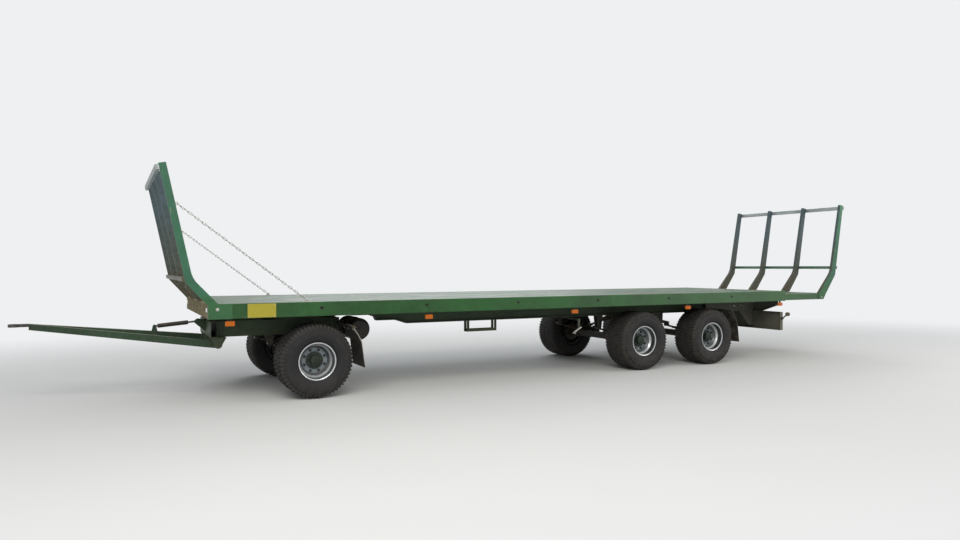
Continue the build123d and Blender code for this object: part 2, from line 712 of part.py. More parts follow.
def wheel_rim(x, side):
    """A dished steel rim with its hub, cap and brake drum."""
    seat = BEAD_R - BEAD_PLAY
    face = BEAD_HALF + BEAD_PLAY
    well = seat - 24
    wall = RIM_WALL
    # radius, distance outwards from the middle of the wheel
    outline = [
        (0, CAP_FACE), (CAP_R - 8, CAP_FACE), (CAP_R, CAP_FACE - 10), (CAP_R, HUB_FACE), (HUB_R, HUB_FACE),
        (HUB_R, DISC_FACE), (160, DISC_FACE), (well - wall, 85), (well - wall, 100), (seat - wall - 4, 126),
        (seat - wall, face), (RIM_FLANGE_R - wall, RIM_HALF), (RIM_FLANGE_R, RIM_HALF), (RIM_FLANGE_R, face),
        (seat, face), (seat - 4, 130), (well, 104), (well, -84), (seat - 4, -110), (seat, -face),
        (RIM_FLANGE_R, -face), (RIM_FLANGE_R, -RIM_HALF), (RIM_FLANGE_R - wall, -RIM_HALF),
        (seat - wall, -face), (seat - wall - 4, -106), (well - wall, -80), (well - wall, 70),
        (160, DISC_FACE - DISC_WALL), (HUB_R, DISC_FACE - DISC_WALL), (HUB_R, -40), (95, -60), (95, -100),
        (DRUM_R, -100), (DRUM_R, -DRUM_REACH), (DRUM_R - 12, -DRUM_REACH), (DRUM_R - 12, -112),
        (70, -112), (70, -130), (STUB_R + STUB_PLAY, -130), (STUB_R + STUB_PLAY, STUB_END), (0, STUB_END)]
    rim = revolve(Plane.XZ * face_of(outline), axis=Axis.Z)
    return wheel_place(x, side) * rim


def tyre(x, side):
    """A wide low-pressure tyre, made of flat-sided rings so that it stays light."""
    half = TYRE_WIDTH / 2

    def ring(radius, start, end, end_radius):
        taper = math.degrees(math.atan2(radius - end_radius, end - start))
        flat = Rot(0, 0, 90 - 180 / TYRE_SIDES) * RegularPolygon(radius, TYRE_SIDES, major_radius=False)
        return extrude(Plane.XY.offset(start) * flat, amount=end - start, taper=taper)

    # radius, distance from the middle of the wheel
    crown = [(WHEEL_R - drop, half - inset) for drop, inset in zip((0, *SHOULDER_DROPS), SHOULDER_INSETS)]
    body = ring(WHEEL_R, -crown[0][1], crown[0][1], WHEEL_R)
    for (near, start), (far, end) in zip(crown, crown[1:]):
        shoulder = ring(near, start, end, far)
        body += shoulder + mirror(shoulder, about=Plane.XY)
    recess = ring(WHEEL_R - TYRE_LIP_DROP, -half, -BEAD_HALF, RIM_FLANGE_R + RIM_PLAY)
    body -= recess
    body -= mirror(recess, about=Plane.XY)
    body -= ring(BEAD_R, -half, half, BEAD_R)
    return wheel_place(x, side) * body


# Drawbar

def drawbar_height(x):
    """Height of the drawbar's middle line."""
    return HINGE_Z + (EYE_Z - HINGE_Z) * (HINGE_X - x) / (HINGE_X - EYE_X)


def drawbar_arm():
    """The left box arm. It runs straight beside its lugs and leans inward only ahead of them."""
    near = DOLLY_FRONT - ARM_LEAD
    tip = DRAWBAR_NOSE
    half = ARM_WIDTH / 2
    side_view = face_of([
        (tip, drawbar_height(tip) - ARM_TIP_DEPTH / 2), (near, drawbar_height(near) - ARM_DEPTH / 2),
        (HINGE_X, HINGE_Z - ARM_DEPTH / 2), (HINGE_X, HINGE_Z + ARM_DEPTH / 2),
        (near, drawbar_height(near) + ARM_DEPTH / 2), (tip, drawbar_height(tip) + ARM_TIP_DEPTH / 2)])
    plan = face_of([
        (tip, -half), (near, -HINGE_Y - half), (HINGE_X, -HINGE_Y - half),
        (HINGE_X, -HINGE_Y + half), (near, -HINGE_Y + half), (tip, half)])
    arm = along_y(side_view, -HINGE_Y - ARM_WIDTH, 0) & along_z(plan, 0, 2 * EYE_Z)
    arm += pin_y(HINGE_X, -HINGE_Y - half, -HINGE_Y + half, HINGE_Z, ARM_DEPTH / 2)
    return arm - pin_y(HINGE_X, -HINGE_Y - ARM_WIDTH, -HINGE_Y + ARM_WIDTH, HINGE_Z, HINGE_PIN_R + STUB_PLAY)


def drawbar_frame():
    """Two box arms that meet at the nose, and a cross-tube with the cylinder's bracket."""
    arm = drawbar_arm()
    arms = [arm, mirror(arm, about=Plane.XZ)]
    x, z = CYLINDER_FRONT
    reach = HINGE_Y * (x - DRAWBAR_NOSE) / (DOLLY_FRONT - ARM_LEAD - DRAWBAR_NOSE)
    low = drawbar_height(x)
    brace = rod((x, -reach, low), (x, reach, low), BRACE_R) - arms[0] - arms[1]
    cheek = face_of([(x - CYLINDER_CHEEK_HALF, low), (x - CYLINDER_EYE_R, z), (x + CYLINDER_EYE_R, z),
                     (x + CYLINDER_CHEEK_HALF, low)])
    cheek += Pos(x, z) * Circle(CYLINDER_EYE_R)
    gap = CYLINDER_EYE_WIDTH / 2 + CYLINDER_GAP
    for side in (-1, 1):
        brace += slab(cheek, side * gap, side * (gap + CYLINDER_CHEEK))
    return arms + [brace + pin_y(x, -gap, gap, z, CYLINDER_PIN_R - STUB_PLAY)]


def towing_eye():
    """A flat ring on a shank that is bolted to the drawbar's nose."""
    shank = DRAWBAR_NOSE - EYE_X
    ring = Circle(TOW_EYE_OUTER) + Pos(shank / 2, 0) * Rectangle(shank, ARM_WIDTH - 10)
    ring -= Circle(TOW_EYE_R)
    return along_z(Pos(EYE_X, 0) * ring, EYE_Z - TOW_EYE_THICK / 2, EYE_Z + TOW_EYE_THICK / 2)


def cylinder_line(distance):
    """A point on the cylinder's line, so far from its front eye."""
    (x0, z0), (x1, z1) = CYLINDER_FRONT, CYLINDER_REAR
    length = math.hypot(x1 - x0, z1 - z0)
    return (x0 + (x1 - x0) * distance / length, 0, z0 + (z1 - z0) * distance / length)


def cylinder_barrel():
    """The spring housing, with an eye on the drawbar."""
    half = CYLINDER_EYE_WIDTH / 2
    barrel = rod(cylinder_line(CYLINDER_NECK), cylinder_line(CYLINDER_BARREL), CYLINDER_R)
    barrel += pin_y(CYLINDER_FRONT[0], -half, half, CYLINDER_FRONT[1], CYLINDER_EYE_R)
    barrel += rod(cylinder_line(CYLINDER_PIN_R), cylinder_line(CYLINDER_NECK), half)
    barrel -= rod(cylinder_line(CYLINDER_BORE_END), cylinder_line(CYLINDER_BARREL + 1), CYLINDER_ROD_R + STUB_PLAY)
    return barrel - pin_y(CYLINDER_FRONT[0], -half, half, CYLINDER_FRONT[1], CYLINDER_PIN_R)


def cylinder_rod():
    """The rod, with a cross-pin held between the cheeks of the turning frame's bracket."""
    x, z = CYLINDER_REAR
    length = math.hypot(x - CYLINDER_FRONT[0], z - CYLINDER_FRONT[1])
    half = CYLINDER_EYE_WIDTH / 2
    shaft = rod(cylinder_line(CYLINDER_ROD_IN), cylinder_line(length), CYLINDER_ROD_R)
    shaft += pin_y(x, -half, half, z, CYLINDER_EYE_R)
    reach = half + CYLINDER_PIN_OUT
    return shaft + pin_y(x, -reach, reach, z, CYLINDER_PIN_R)


def cylinder_bracket():
    """Two cheeks on the front of the turning frame, either side of the rod's pin."""
    x, z = CYLINDER_REAR
    reach = CYLINDER_HORN
    outline = face_of([(DOLLY_FRONT, DOLLY_TOP), (x, z + reach), (x - reach, z + 10), (x - reach, z - 22),
                       (DOLLY_FRONT, DOLLY_BOTTOM + 40)])
    gap = CYLINDER_EYE_WIDTH / 2 + CYLINDER_PIN_OUT + CYLINDER_GAP
    return [slab(outline, side * gap, side * (gap + CYLINDER_CHEEK)) for side in (-1, 1)]


# Tank, guards and small pieces

def air_tank():
    """A brake air tank with domed ends, held to the turning frame by two straps."""
    x = DOLLY_REAR + TANK_GAP + TANK_R
    inner_y = -TANK_OUTER_Y + TANK_LENGTH
    tank = Cylinder(TANK_R, TANK_LENGTH)
    tank = fillet(tank.edges().filter_by(GeomType.CIRCLE), TANK_DISH)
    pieces = [Pos(x, inner_y - TANK_LENGTH / 2, TANK_Z) * Rot(90, 0, 0) * tank]
    outer = TANK_R + TANK_STRAP_THICK
    strap = Circle(outer) + Pos(-(TANK_R + TANK_GAP) / 2, 0) * Rectangle(TANK_R + TANK_GAP, TANK_ARM)
    strap -= Circle(TANK_R)
    for y in (-TANK_OUTER_Y + TANK_LENGTH / 2, inner_y - TANK_LENGTH / 8):
        pieces.append(along_y(Pos(x, TANK_Z) * strap, y - TANK_STRAP / 2, y + TANK_STRAP / 2))
    return pieces


def mudguard(axle_x, side, frame_y):
    """A curved guard behind a wheel with a straight flap below, on a bar from the frame."""
    high = math.radians(GUARD_TOP_ANGLE)
    low = math.radians(GUARD_LOW_ANGLE)
    mid = (high + low) / 2
    thick = GUARD_THICK

    def at(r, a):
        return (r * math.cos(a), r * math.sin(a))

    flap_z = FLAP_BOTTOM - AXLE_Z
    outline = make_face([
        ThreePointArc(at(GUARD_R, high), at(GUARD_R, mid), at(GUARD_R, low)),
        Line(at(GUARD_R, low), (FLAP_BACK, flap_z)),
        Line((FLAP_BACK, flap_z), (FLAP_BACK + thick, flap_z)),
        Line((FLAP_BACK + thick, flap_z), at(GUARD_R + thick, low)),
        ThreePointArc(at(GUARD_R + thick, low), at(GUARD_R + thick, mid), at(GUARD_R + thick, high)),
        Line(at(GUARD_R + thick, high), at(GUARD_R, high))])
    guard = along_y(Pos(axle_x, AXLE_Z) * outline, GUARD_INNER_Y, GUARD_OUTER_Y)
    x, z = at(GUARD_R + thick + GUARD_BAR / 2, math.radians(GUARD_BAR_ANGLE))
    bar = Pos(axle_x + x, AXLE_Z + z) * Rot(0, 0, GUARD_BAR_ANGLE) * Rectangle(GUARD_BAR, GUARD_BAR)
    guard += along_y(bar, frame_y, GUARD_OUTER_Y - GUARD_BAR)
    return guard if side > 0 else mirror(guard, about=Plane.XZ)


def side_markers():
    """Amber lamps on short stems under the rails."""
    lamps = []
    for x in MARKER_XS:
        for side in (-1, 1):
            y = side * (RAIL_Y - MARKER_DEPTH / 2)
            lamp = Pos(x, y, MARKER_BOTTOM + MARKER_HEIGHT / 2) * Box(MARKER_LENGTH, MARKER_DEPTH, MARKER_HEIGHT)
            lamp = fillet(lamp.edges().filter_by(Axis.Y), MARKER_CORNER)
            stem_z = MARKER_BOTTOM + MARKER_HEIGHT
            lamp += block(x - MARKER_STEM / 2, x + MARKER_STEM / 2, y - MARKER_STEM / 10, y + MARKER_STEM / 10,
                          stem_z, RAIL_BOTTOM)
            lamps.append(lamp)
    return lamps


def info_plate():
    """A blank plate on the left rail."""
    z = DECK_TOP - (RAIL_HEIGHT - PLATE_HEIGHT) / 2
    return block(PLATE_START, PLATE_START + PLATE_LENGTH, -RAIL_Y - PLATE_THICK, -RAIL_Y, z - PLATE_HEIGHT, z)


def carrier():
    """A hanging carrier under the left main beam: two straps, two rails and a shelf."""
    y0 = -BEAM_Y - BEAM_WIDTH / 2
    y1 = -BEAM_Y + BEAM_WIDTH / 2
    x0 = TRAY_FRONT
    x1 = TRAY_FRONT + TRAY_LENGTH
    frame = block(x0, x1, y0, y1, TRAY_BOTTOM, TRAY_BOTTOM + TRAY_WALL)
    for x in (TRAY_FRONT, TRAY_FRONT + TRAY_LENGTH - TRAY_STRAP):
        hoop = block(x, x + TRAY_STRAP, y0, y1, TRAY_BOTTOM, BEAM_BOTTOM)
        hoop -= block(x, x + TRAY_STRAP, y0 + TRAY_WALL, y1 - TRAY_WALL, TRAY_BOTTOM + TRAY_WALL, BEAM_BOTTOM)
        frame += hoop
    frame += block(x0, x1, y0, y0 + TRAY_WALL, TRAY_BOTTOM, TRAY_BOTTOM + TRAY_STRAP)
    frame += block(x0, x1, y1 - TRAY_WALL, y1, TRAY_BOTTOM, TRAY_BOTTOM + TRAY_STRAP)
    return frame


def brake_crank():
    """A hand crank with an outward handle, on a strip that hangs from the left main beam."""
    y = -CRANK_Y
    top = BEAM_BOTTOM + CRANK_WALL
    x0, x1 = CRANK_X - CRANK_STRIP / 2, CRANK_X + CRANK_STRIP / 2
    crank = block(x0, x1, y, y + CRANK_WALL, CRANK_Z - CRANK_STRIP / 2, top)
    crank += block(x0, x1, y, -BEAM_Y - BEAM_WIDTH / 2, BEAM_BOTTOM, top)
    lever_y = y - CRANK_OUT
    crank += pin_y(CRANK_X, lever_y, y + CRANK_WALL, CRANK_Z, CRANK_PIN_R)
    tilt = math.radians(CRANK_TILT)
    tip_x = CRANK_X - CRANK_REACH * math.cos(tilt)
    tip_z = CRANK_Z - CRANK_REACH * math.sin(tilt)
    ends = [Pos(CRANK_X, CRANK_Z) * Circle(CRANK_LEVER_R), Pos(tip_x, tip_z) * Circle(CRANK_LEVER_R)]
    lever = make_hull([edge for end in ends for edge in end.edges()])
    crank += along_y(lever, lever_y, lever_y + CRANK_PIN_R)
    return crank + pin_y(tip_x, lever_y - CRANK_OUT, lever_y + CRANK_PIN_R, tip_z, CRANK_PIN_R)


# Ladders

def post_inner_top(outer_bend, top_out):
    """The inner corner of a post's top end, which is square to its outer face."""
    lean = math.radians(ladder_lean(outer_bend, top_out))
    return top_out - POST_TOP_DEPTH * math.cos(lean), LADDER_TOP + POST_TOP_DEPTH * math.sin(lean)


def post_outline(base, foot, outer_bend, inner_bend, top_out):
    """Side view of a post that leans out, bends and rises. Distances run outwards."""
    inner_top = post_inner_top(outer_bend, top_out)
    outline = face_of([(foot[0], base), outer_bend, (top_out, LADDER_TOP), inner_top, inner_bend, (foot[1], base)])
    for bend, radius in ((outer_bend, POST_OUTER_BEND_R), (inner_bend, POST_INNER_BEND_R)):
        outline = fillet(outline.vertices().sort_by_distance((*bend, 0))[0], radius)
    return outline


def ladder_lean(outer_bend, top_out):
    """Lean of a post's upper part, in degrees from upright."""
    return math.degrees(math.atan2(top_out - outer_bend[0], LADDER_TOP - outer_bend[1]))


def ladder_posts(outline, foot_plate, plate_y):
    """Four posts and the plates that hold the outer two to the rails."""
    posts = []
    for y in POST_ROWS:
        posts.append(along_y(outline, y - POST_WIDTH / 2, y + POST_WIDTH / 2))
    for side in (-1, 1):
        posts.append(slab(foot_plate, side * plate_y, side * (plate_y + FOOT_PLATE)))
    return posts


def outward(face, end, sign):
    """Places an outline whose x runs outwards from a platform's end."""
    turned = mirror(face, about=Plane.YZ) if sign < 0 else face
    return Pos(end, 0) * turned


def front_foot_plate():
    """The plate on the rail at the foot of a front post, a little higher where the post is."""
    out, back = FRONT_FOOT
    top = DECK_TOP + FOOT_RISE
    return face_of([(0, RAIL_BOTTOM), (0, DECK_TOP - 20), (out, DECK_TOP), (out + 27, top), (back + 31, top),
                    (back, DECK_TOP), (-FOOT_LENGTH, DECK_TOP), (-FOOT_LENGTH, RAIL_BOTTOM)])


def rear_foot_plate():
    """The same on the sliding frame, short enough to pass the main rail's end."""
    out, back = REAR_FOOT
    top = EXT_TOP + REAR_FOOT_RISE
    return face_of([(0, EXT_RAIL_BOTTOM), (out, EXT_TOP), (out + 28, top), (back + 25, top), (back, EXT_TOP),
                    (-REAR_FOOT_LENGTH, EXT_TOP - 30), (-REAR_FOOT_LENGTH, EXT_RAIL_BOTTOM)])


def ladder_bars(end, sign, outer_bend, top_out, low_bar_z):
    """The top bar and the low bar, against the outer faces of the posts."""
    lean = ladder_lean(outer_bend, top_out)
    half = POST_ROWS[-1] + POST_WIDTH / 2
    bars = []
    for size, height in ((TOP_BAR, LADDER_TOP - TOP_BAR[0] / 2 - 10), (LOW_BAR, low_bar_z)):
        out = top_out - (LADDER_TOP - height) * math.tan(math.radians(lean))
        seat = Pos(out, height) * Rot(0, 0, -lean) * Pos(size[1] / 2, 0)
        bar = seat * Rectangle(size[1], size[0])
        bars.append(along_y(outward(bar, end, sign), -half, half))
    return bars


# Sliding rear frame

def slide_beams():
    """Two box beams that run in the guides, with a packer under the frame they carry."""
    beam = Rectangle(SLIDE_BEAM_SIZE, SLIDE_BEAM_SIZE) - Rectangle(
        SLIDE_BEAM_SIZE - 2 * SHEET, SLIDE_BEAM_SIZE - 2 * SHEET)
    mid_z = SLIDE_BEAM_TOP - SLIDE_BEAM_SIZE / 2
    beam = along_x(Pos(-SLIDE_BEAM_Y, mid_z) * beam, EXT_END - SLIDE_BEAM_LENGTH, EXT_END)
    beam += block(EXT_START, EXT_END, -SLIDE_BEAM_Y - PACKER_WIDTH / 2, -SLIDE_BEAM_Y + PACKER_WIDTH / 2,
                  SLIDE_BEAM_TOP, EXT_CROSS_BOTTOM)
    end_beam = block(EXT_END - END_BEAM_DEPTH, EXT_END, -EXT_RAIL_Y, EXT_RAIL_Y, EXT_RAIL_BOTTOM, EXT_TOP)
    beam -= end_beam
    return [beam, mirror(beam, about=Plane.XZ)]


def slide_frame():
    """Cross-members between channel rails, and an end beam as deep as the rails."""
    last = EXT_END - END_BEAM_DEPTH
    rail_face = Pos(-EXT_RAIL_Y, EXT_RAIL_BOTTOM) * channel_face(
        EXT_TOP - EXT_RAIL_BOTTOM, EXT_RAIL_FLANGE, SHEET, SHEET)
    rail = along_x(rail_face, EXT_START, last)
    half = EXT_RAIL_Y - EXT_RAIL_FLANGE
    end_face = Pos(EXT_END, EXT_RAIL_BOTTOM) * mirror(
        channel_face(EXT_TOP - EXT_RAIL_BOTTOM, END_BEAM_DEPTH, SHEET, SHEET), about=Plane.YZ)
    pieces = [rail, mirror(rail, about=Plane.XZ), along_y(end_face, -EXT_RAIL_Y, EXT_RAIL_Y)]
    pitch = (last - EXT_START) / EXT_CROSS_COUNT
    for i in range(EXT_CROSS_COUNT):
        x = EXT_START + i * pitch
        pieces.append(block(x, x + EXT_CROSS_WIDTH, -half, half, EXT_CROSS_BOTTOM, EXT_TOP - SHEET))
    return pieces


def slide_floor():
    """The sheet on the sliding frame."""
    half = EXT_RAIL_Y - EXT_RAIL_FLANGE
    return block(EXT_START, EXT_END - END_BEAM_DEPTH, -half, half, EXT_TOP - SHEET, EXT_TOP)


def slide_guides():
    """Cross-beams between the main beams that the sliding beams run on."""
    half = BEAM_Y - BEAM_WEB / 2
    top = SLIDE_BEAM_TOP - SLIDE_BEAM_SIZE - GUIDE_PLAY
    return [block(x, x + GUIDE_WIDTH, -half, half, top - GUIDE_DEPTH, top) for x in GUIDE_XS]


# Light beam

def light_beam():
    """A folded panel across the rear on two arms from the main beams."""
    height = LIGHT_BEAM_TOP - LIGHT_BEAM_BOTTOM
    panel = Pos(LIGHT_BEAM_X + LIGHT_BEAM_DEPTH, LIGHT_BEAM_BOTTOM) * mirror(
        channel_face(height, LIGHT_BEAM_DEPTH, LIGHT_BEAM_WALL, LIGHT_BEAM_WALL), about=Plane.YZ)
    beam = along_y(panel, -LIGHT_BEAM_HALF, LIGHT_BEAM_HALF)
    for side in (-1, 1):
        middle = side * (LIGHT_BEAM_HALF - LIGHT_BEAM_WALL / 2)
        beam += block(LIGHT_BEAM_X, LIGHT_BEAM_X + LIGHT_BEAM_DEPTH, middle - LIGHT_BEAM_WALL / 2,
                      middle + LIGHT_BEAM_WALL / 2, LIGHT_BEAM_BOTTOM, LIGHT_BEAM_TOP)
    front = BEAM_END - LIGHT_ARM_LENGTH
    low = LIGHT_BEAM_BOTTOM + LIGHT_ARM_LOW
    arm = face_of([(front, TAIL_BOTTOM), (BEAM_END, TAIL_BOTTOM), (BEAM_END, LIGHT_BEAM_TOP),
                   (LIGHT_BEAM_X, LIGHT_BEAM_TOP), (LIGHT_BEAM_X, low), (LIGHT_BEAM_X - LIGHT_ARM_TIP, low),
                   (front + LIGHT_ARM_RAMP, LIGHT_BEAM_TOP)])
    for side in (-1, 1):
        y = side * BEAM_Y
        beam += along_y(arm, y - BEAM_WEB / 2, y + BEAM_WEB / 2)
    return beam


def rear_lamps():
    """A lamp cluster at each end of the light beam and a marker lamp on a rubber stalk."""
    lamps = []
    back = LIGHT_BEAM_X + LIGHT_BEAM_DEPTH
    mid_z = (LIGHT_BEAM_TOP + LIGHT_BEAM_BOTTOM) / 2
    for side in (-1, 1):
        y = side * (LIGHT_BEAM_HALF - LAMP_LENGTH / 2 - LAMP_INSET)
        lamp = Pos(back + LAMP_DEPTH / 2, y, mid_z) * Box(LAMP_DEPTH, LAMP_LENGTH, LAMP_HEIGHT)
        lamps.append(fillet(lamp.edges().filter_by(Axis.X), LAMP_CORNER))
        tip = (back + STALK_LAMP_BACK, side * STALK_LAMP_Y, STALK_LAMP_Z)
        root_y = side * (LIGHT_BEAM_HALF + STALK_FOOT / 2)
        root_z = LIGHT_BEAM_TOP - STALK_DROP
        foot = Pos(back - STALK_FOOT, root_y, root_z) * Box(STALK_FOOT + 10, STALK_FOOT, STALK_FOOT + 10)
        stalk = rod((back - STALK_FOOT + 5, root_y, root_z), tip, STALK_R)
        head = Pos(*tip) * Rot(0, 90, 0) * Cylinder(STALK_LAMP_R, STALK_LAMP_DEPTH)
        lamps.append(foot + stalk + head)
    return lamps


# Chains

def chain_ends():
    """The holes of the upper and the lower chain lug."""
    (out0, z0), (out1, z1) = FRONT_INNER_BEND, post_inner_top(FRONT_OUTER_BEND, FRONT_TOP_OUT)
    out = out0 + (out1 - out0) * (CHAIN_TOP_Z - z0) / (z1 - z0)
    return (CHAIN_LUG_OUT - out, CHAIN_TOP_Z), (CHAIN_FOOT_X, DECK_TOP + CHAIN_LUG_OUT)


def brace_chain(side):
    """Links that alternate by a quarter turn, from the front post to the rail."""
    (x0, z0), (x1, z1) = chain_ends()
    seat = math.sqrt(CHAIN_LUG_HOLE ** 2 - CHAIN_WIRE ** 2 / 4) - CHAIN_WIRE / 2 - CHAIN_PLAY / 2
    span = math.hypot(x1 - x0, z1 - z0) - 2 * seat
    inner = (span - CHAIN_WIRE + (CHAIN_LINKS - 1) * CHAIN_PLAY) / CHAIN_LINKS
    pitch = inner - CHAIN_PLAY
    link = Rectangle(inner + 2 * CHAIN_WIRE, CHAIN_LINK_WIDTH)
    link -= Rectangle(inner, CHAIN_LINK_WIDTH - 2 * CHAIN_WIRE)
    link = extrude(link, amount=CHAIN_WIRE / 2, both=True)
    start = Pos(x0, side * POST_ROWS[-1], z0) * Rot(0, math.degrees(math.atan2(z0 - z1, x1 - x0)), 0)
    first = seat + (inner + CHAIN_WIRE) / 2
    return [start * Pos(first + i * pitch, 0, 0) * Rot(90 * (i % 2), 0, 0) * link for i in range(CHAIN_LINKS)]


def chain_lugs():
    """The lugs on the outer posts and on the rails that the chains hang from."""
    top, foot = chain_ends()
    post = outward(post_outline(DECK_TOP, FRONT_FOOT, FRONT_OUTER_BEND, FRONT_INNER_BEND, FRONT_TOP_OUT), 0, -1)
    lugs = []
    for side in (-1, 1):
        y = side * POST_ROWS[-1]
        root = top[0] - CHAIN_LUG_ROOT
        lug = chain_lug(top, ((root, top[1] + 20), (root, top[1] - 40)), side)
        lugs.append(lug - along_y(post, y - POST_WIDTH / 2, y + POST_WIDTH / 2))
        half = CHAIN_LUG_ROOT / 2
        lugs.append(chain_lug(foot, ((foot[0] - half, DECK_TOP), (foot[0] + half, DECK_TOP)), side))
    return lugs


def chain_lug(place, base, side):
    """A plate with a hole for a chain's last link, from its round end to two points on its base."""
    x, z = place
    lug = Pos(x, z) * Circle(CHAIN_LUG_R) + make_hull(
        [*(Pos(x, z) * Circle(CHAIN_LUG_R)).edges(), Line(*base)])
    lug -= Pos(x, z) * Circle(CHAIN_LUG_HOLE)
    y = side * POST_ROWS[-1]
    return along_y(lug, y - CHAIN_LUG / 2, y + CHAIN_LUG / 2)


nodes = {}
left_rail = side_rail()
nodes["side_rail_left"] = left_rail
nodes["side_rail_right"] = mirror(left_rail, about=Plane.XZ)
nodes["end_beams"] = end_beams()
nodes["floor_panels"] = floor_panels()
beams = main_beam(-1) + main_beam(1)
nodes["main_beams"] = beams
nodes["cross_members"] = [cross_member(CROSS_FIRST + i * CROSS_PITCH, beams) for i in range(CROSS_COUNT)]
nodes["rear_stringers"] = stringers()
nodes["turntable_upper"] = turntable_upper()
front_posts = outward(post_outline(DECK_TOP, FRONT_FOOT, FRONT_OUTER_BEND, FRONT_INNER_BEND, FRONT_TOP_OUT), 0, -1)
front_plate = outward(front_foot_plate(), 0, -1)
nodes["front_ladder_posts"] = ladder_posts(front_posts, front_plate, RAIL_Y)
nodes["front_ladder_bars"] = ladder_bars(0, -1, FRONT_OUTER_BEND, FRONT_TOP_OUT, FRONT_LOW_BAR_Z)
nodes["brace_chains"] = [brace_chain(-1), brace_chain(1)]
nodes["chain_lugs"] = chain_lugs()
rear_sides = [(x, side) for x in REAR_AXLE_XS for side in (-1, 1)]
nodes["rear_leaf_springs"] = [leaf_spring(x, side * BEAM_Y) for x, side in rear_sides]
hangers = []
rockers = []
for side in (-1, 1):
    y = side * BEAM_Y
    hangers += [eye_hanger(REAR_AXLE_XS[0] - SPRING_HALF, y, BEAM_BOTTOM), equaliser_hanger(BOGIE_X, y),
                slipper_hanger(REAR_AXLE_XS[1] + SPRING_HALF, y, BEAM_BOTTOM)]
    rockers.append(equaliser(BOGIE_X, y))
nodes["rear_spring_hangers"] = hangers
nodes["equalisers"] = rockers
nodes["rear_axles"] = [axle(x, BEAM_Y) for x in REAR_AXLE_XS]
nodes["rear_mudguards"] = [mudguard(REAR_AXLE_XS[1], side, BEAM_Y + BEAM_WIDTH / 2) for side in (-1, 1)]
nodes["side_markers"] = side_markers()
nodes["info_plate"] = info_plate()
nodes["carrier"] = carrier()
nodes["brake_crank"] = brake_crank()
nodes["slide_guides"] = slide_guides()
nodes["light_beam"] = light_beam()
nodes["rear_lamps"] = rear_lamps()

nodes["slide_beams"] = slide_beams()
nodes["slide_frame"] = slide_frame()
nodes["slide_floor"] = slide_floor()
rear_posts = outward(post_outline(EXT_TOP, REAR_FOOT, REAR_OUTER_BEND, REAR_INNER_BEND, REAR_TOP_OUT), EXT_END, 1)
rear_plate = outward(rear_foot_plate(), EXT_END, 1)
nodes["rear_ladder_posts"] = ladder_posts(rear_posts, rear_plate, EXT_RAIL_Y)
nodes["rear_ladder_bars"] = ladder_bars(EXT_END, 1, REAR_OUTER_BEND, REAR_TOP_OUT, REAR_LOW_BAR_Z)

nodes["turntable_lower"] = turntable_lower()
nodes["dolly_frame"] = dolly_frame()
nodes["front_axle"] = axle(FRONT_AXLE_X, FRONT_SPRING_Y)
nodes["front_leaf_springs"] = [leaf_spring(FRONT_AXLE_X, side * FRONT_SPRING_Y) for side in (-1, 1)]
hangers = []
for side in (-1, 1):
    y = side * FRONT_SPRING_Y
    hangers += [eye_hanger(FRONT_AXLE_X - SPRING_HALF, y, DOLLY_BOTTOM),
                slipper_hanger(FRONT_AXLE_X + SPRING_HALF, y, DOLLY_BOTTOM)]
nodes["front_spring_hangers"] = hangers
dolly_side = DOLLY_BEAM_Y + DOLLY_BEAM_WIDTH / 2
nodes["front_mudguards"] = [mudguard(FRONT_AXLE_X, side, dolly_side) for side in (-1, 1)]
nodes["air_tank"] = air_tank()

nodes["drawbar_frame"] = drawbar_frame()
nodes["towing_eye"] = towing_eye()
nodes["cylinder_barrel"] = cylinder_barrel()
nodes["cylinder_rod"] = cylinder_rod()

for number, axle_x in enumerate(AXLE_XS, start=1):
    for side_name, side in (("left", -1), ("right", 1)):
        nodes[f"tyre_{number}_{side_name}"] = tyre(axle_x, side)
        nodes[f"rim_{number}_{side_name}"] = wheel_rim(axle_x, side)

# The finished trailer stands with its middle at the origin
front_end = EYE_X - TOW_EYE_OUTER
rear_end = Compound(nodes["rear_ladder_bars"]).bounding_box().max.X
middle = (front_end + rear_end) / 2
os.makedirs("parts", exist_ok=True)
for name, shape in nodes.items():
    placed = [Pos(-middle, 0, 0) * solid for solid in solids_of(shape)]
    node = placed[0] if len(placed) == 1 else Compound(children=placed)
    export_step(node, f"parts/{name}.step")
    box = node.bounding_box()
    print(name, len(placed), [round(v) for v in (*box.min, *box.max)])
print("shift", round(-middle, 3), "nodes", len(nodes))
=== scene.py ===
import bpy
import bmesh
import math
from mathutils import Matrix, Vector


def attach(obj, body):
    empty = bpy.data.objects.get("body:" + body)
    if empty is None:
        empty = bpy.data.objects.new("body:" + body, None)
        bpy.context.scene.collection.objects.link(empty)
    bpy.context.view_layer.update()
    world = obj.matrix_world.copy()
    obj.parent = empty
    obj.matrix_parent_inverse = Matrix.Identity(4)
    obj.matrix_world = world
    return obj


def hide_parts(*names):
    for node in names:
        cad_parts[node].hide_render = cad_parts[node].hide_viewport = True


# A three-axle platform trailer. x grows to the rear, y to the right side, z up, all in metres.
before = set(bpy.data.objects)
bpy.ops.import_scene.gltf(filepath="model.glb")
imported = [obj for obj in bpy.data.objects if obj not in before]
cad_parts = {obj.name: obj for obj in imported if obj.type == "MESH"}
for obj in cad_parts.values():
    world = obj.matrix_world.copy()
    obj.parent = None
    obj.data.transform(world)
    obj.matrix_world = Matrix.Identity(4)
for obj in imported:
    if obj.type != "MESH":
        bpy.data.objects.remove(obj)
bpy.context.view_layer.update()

# Places along the trailer are given from the front end of the side rails, less this length
MIDDLE = 4.69381

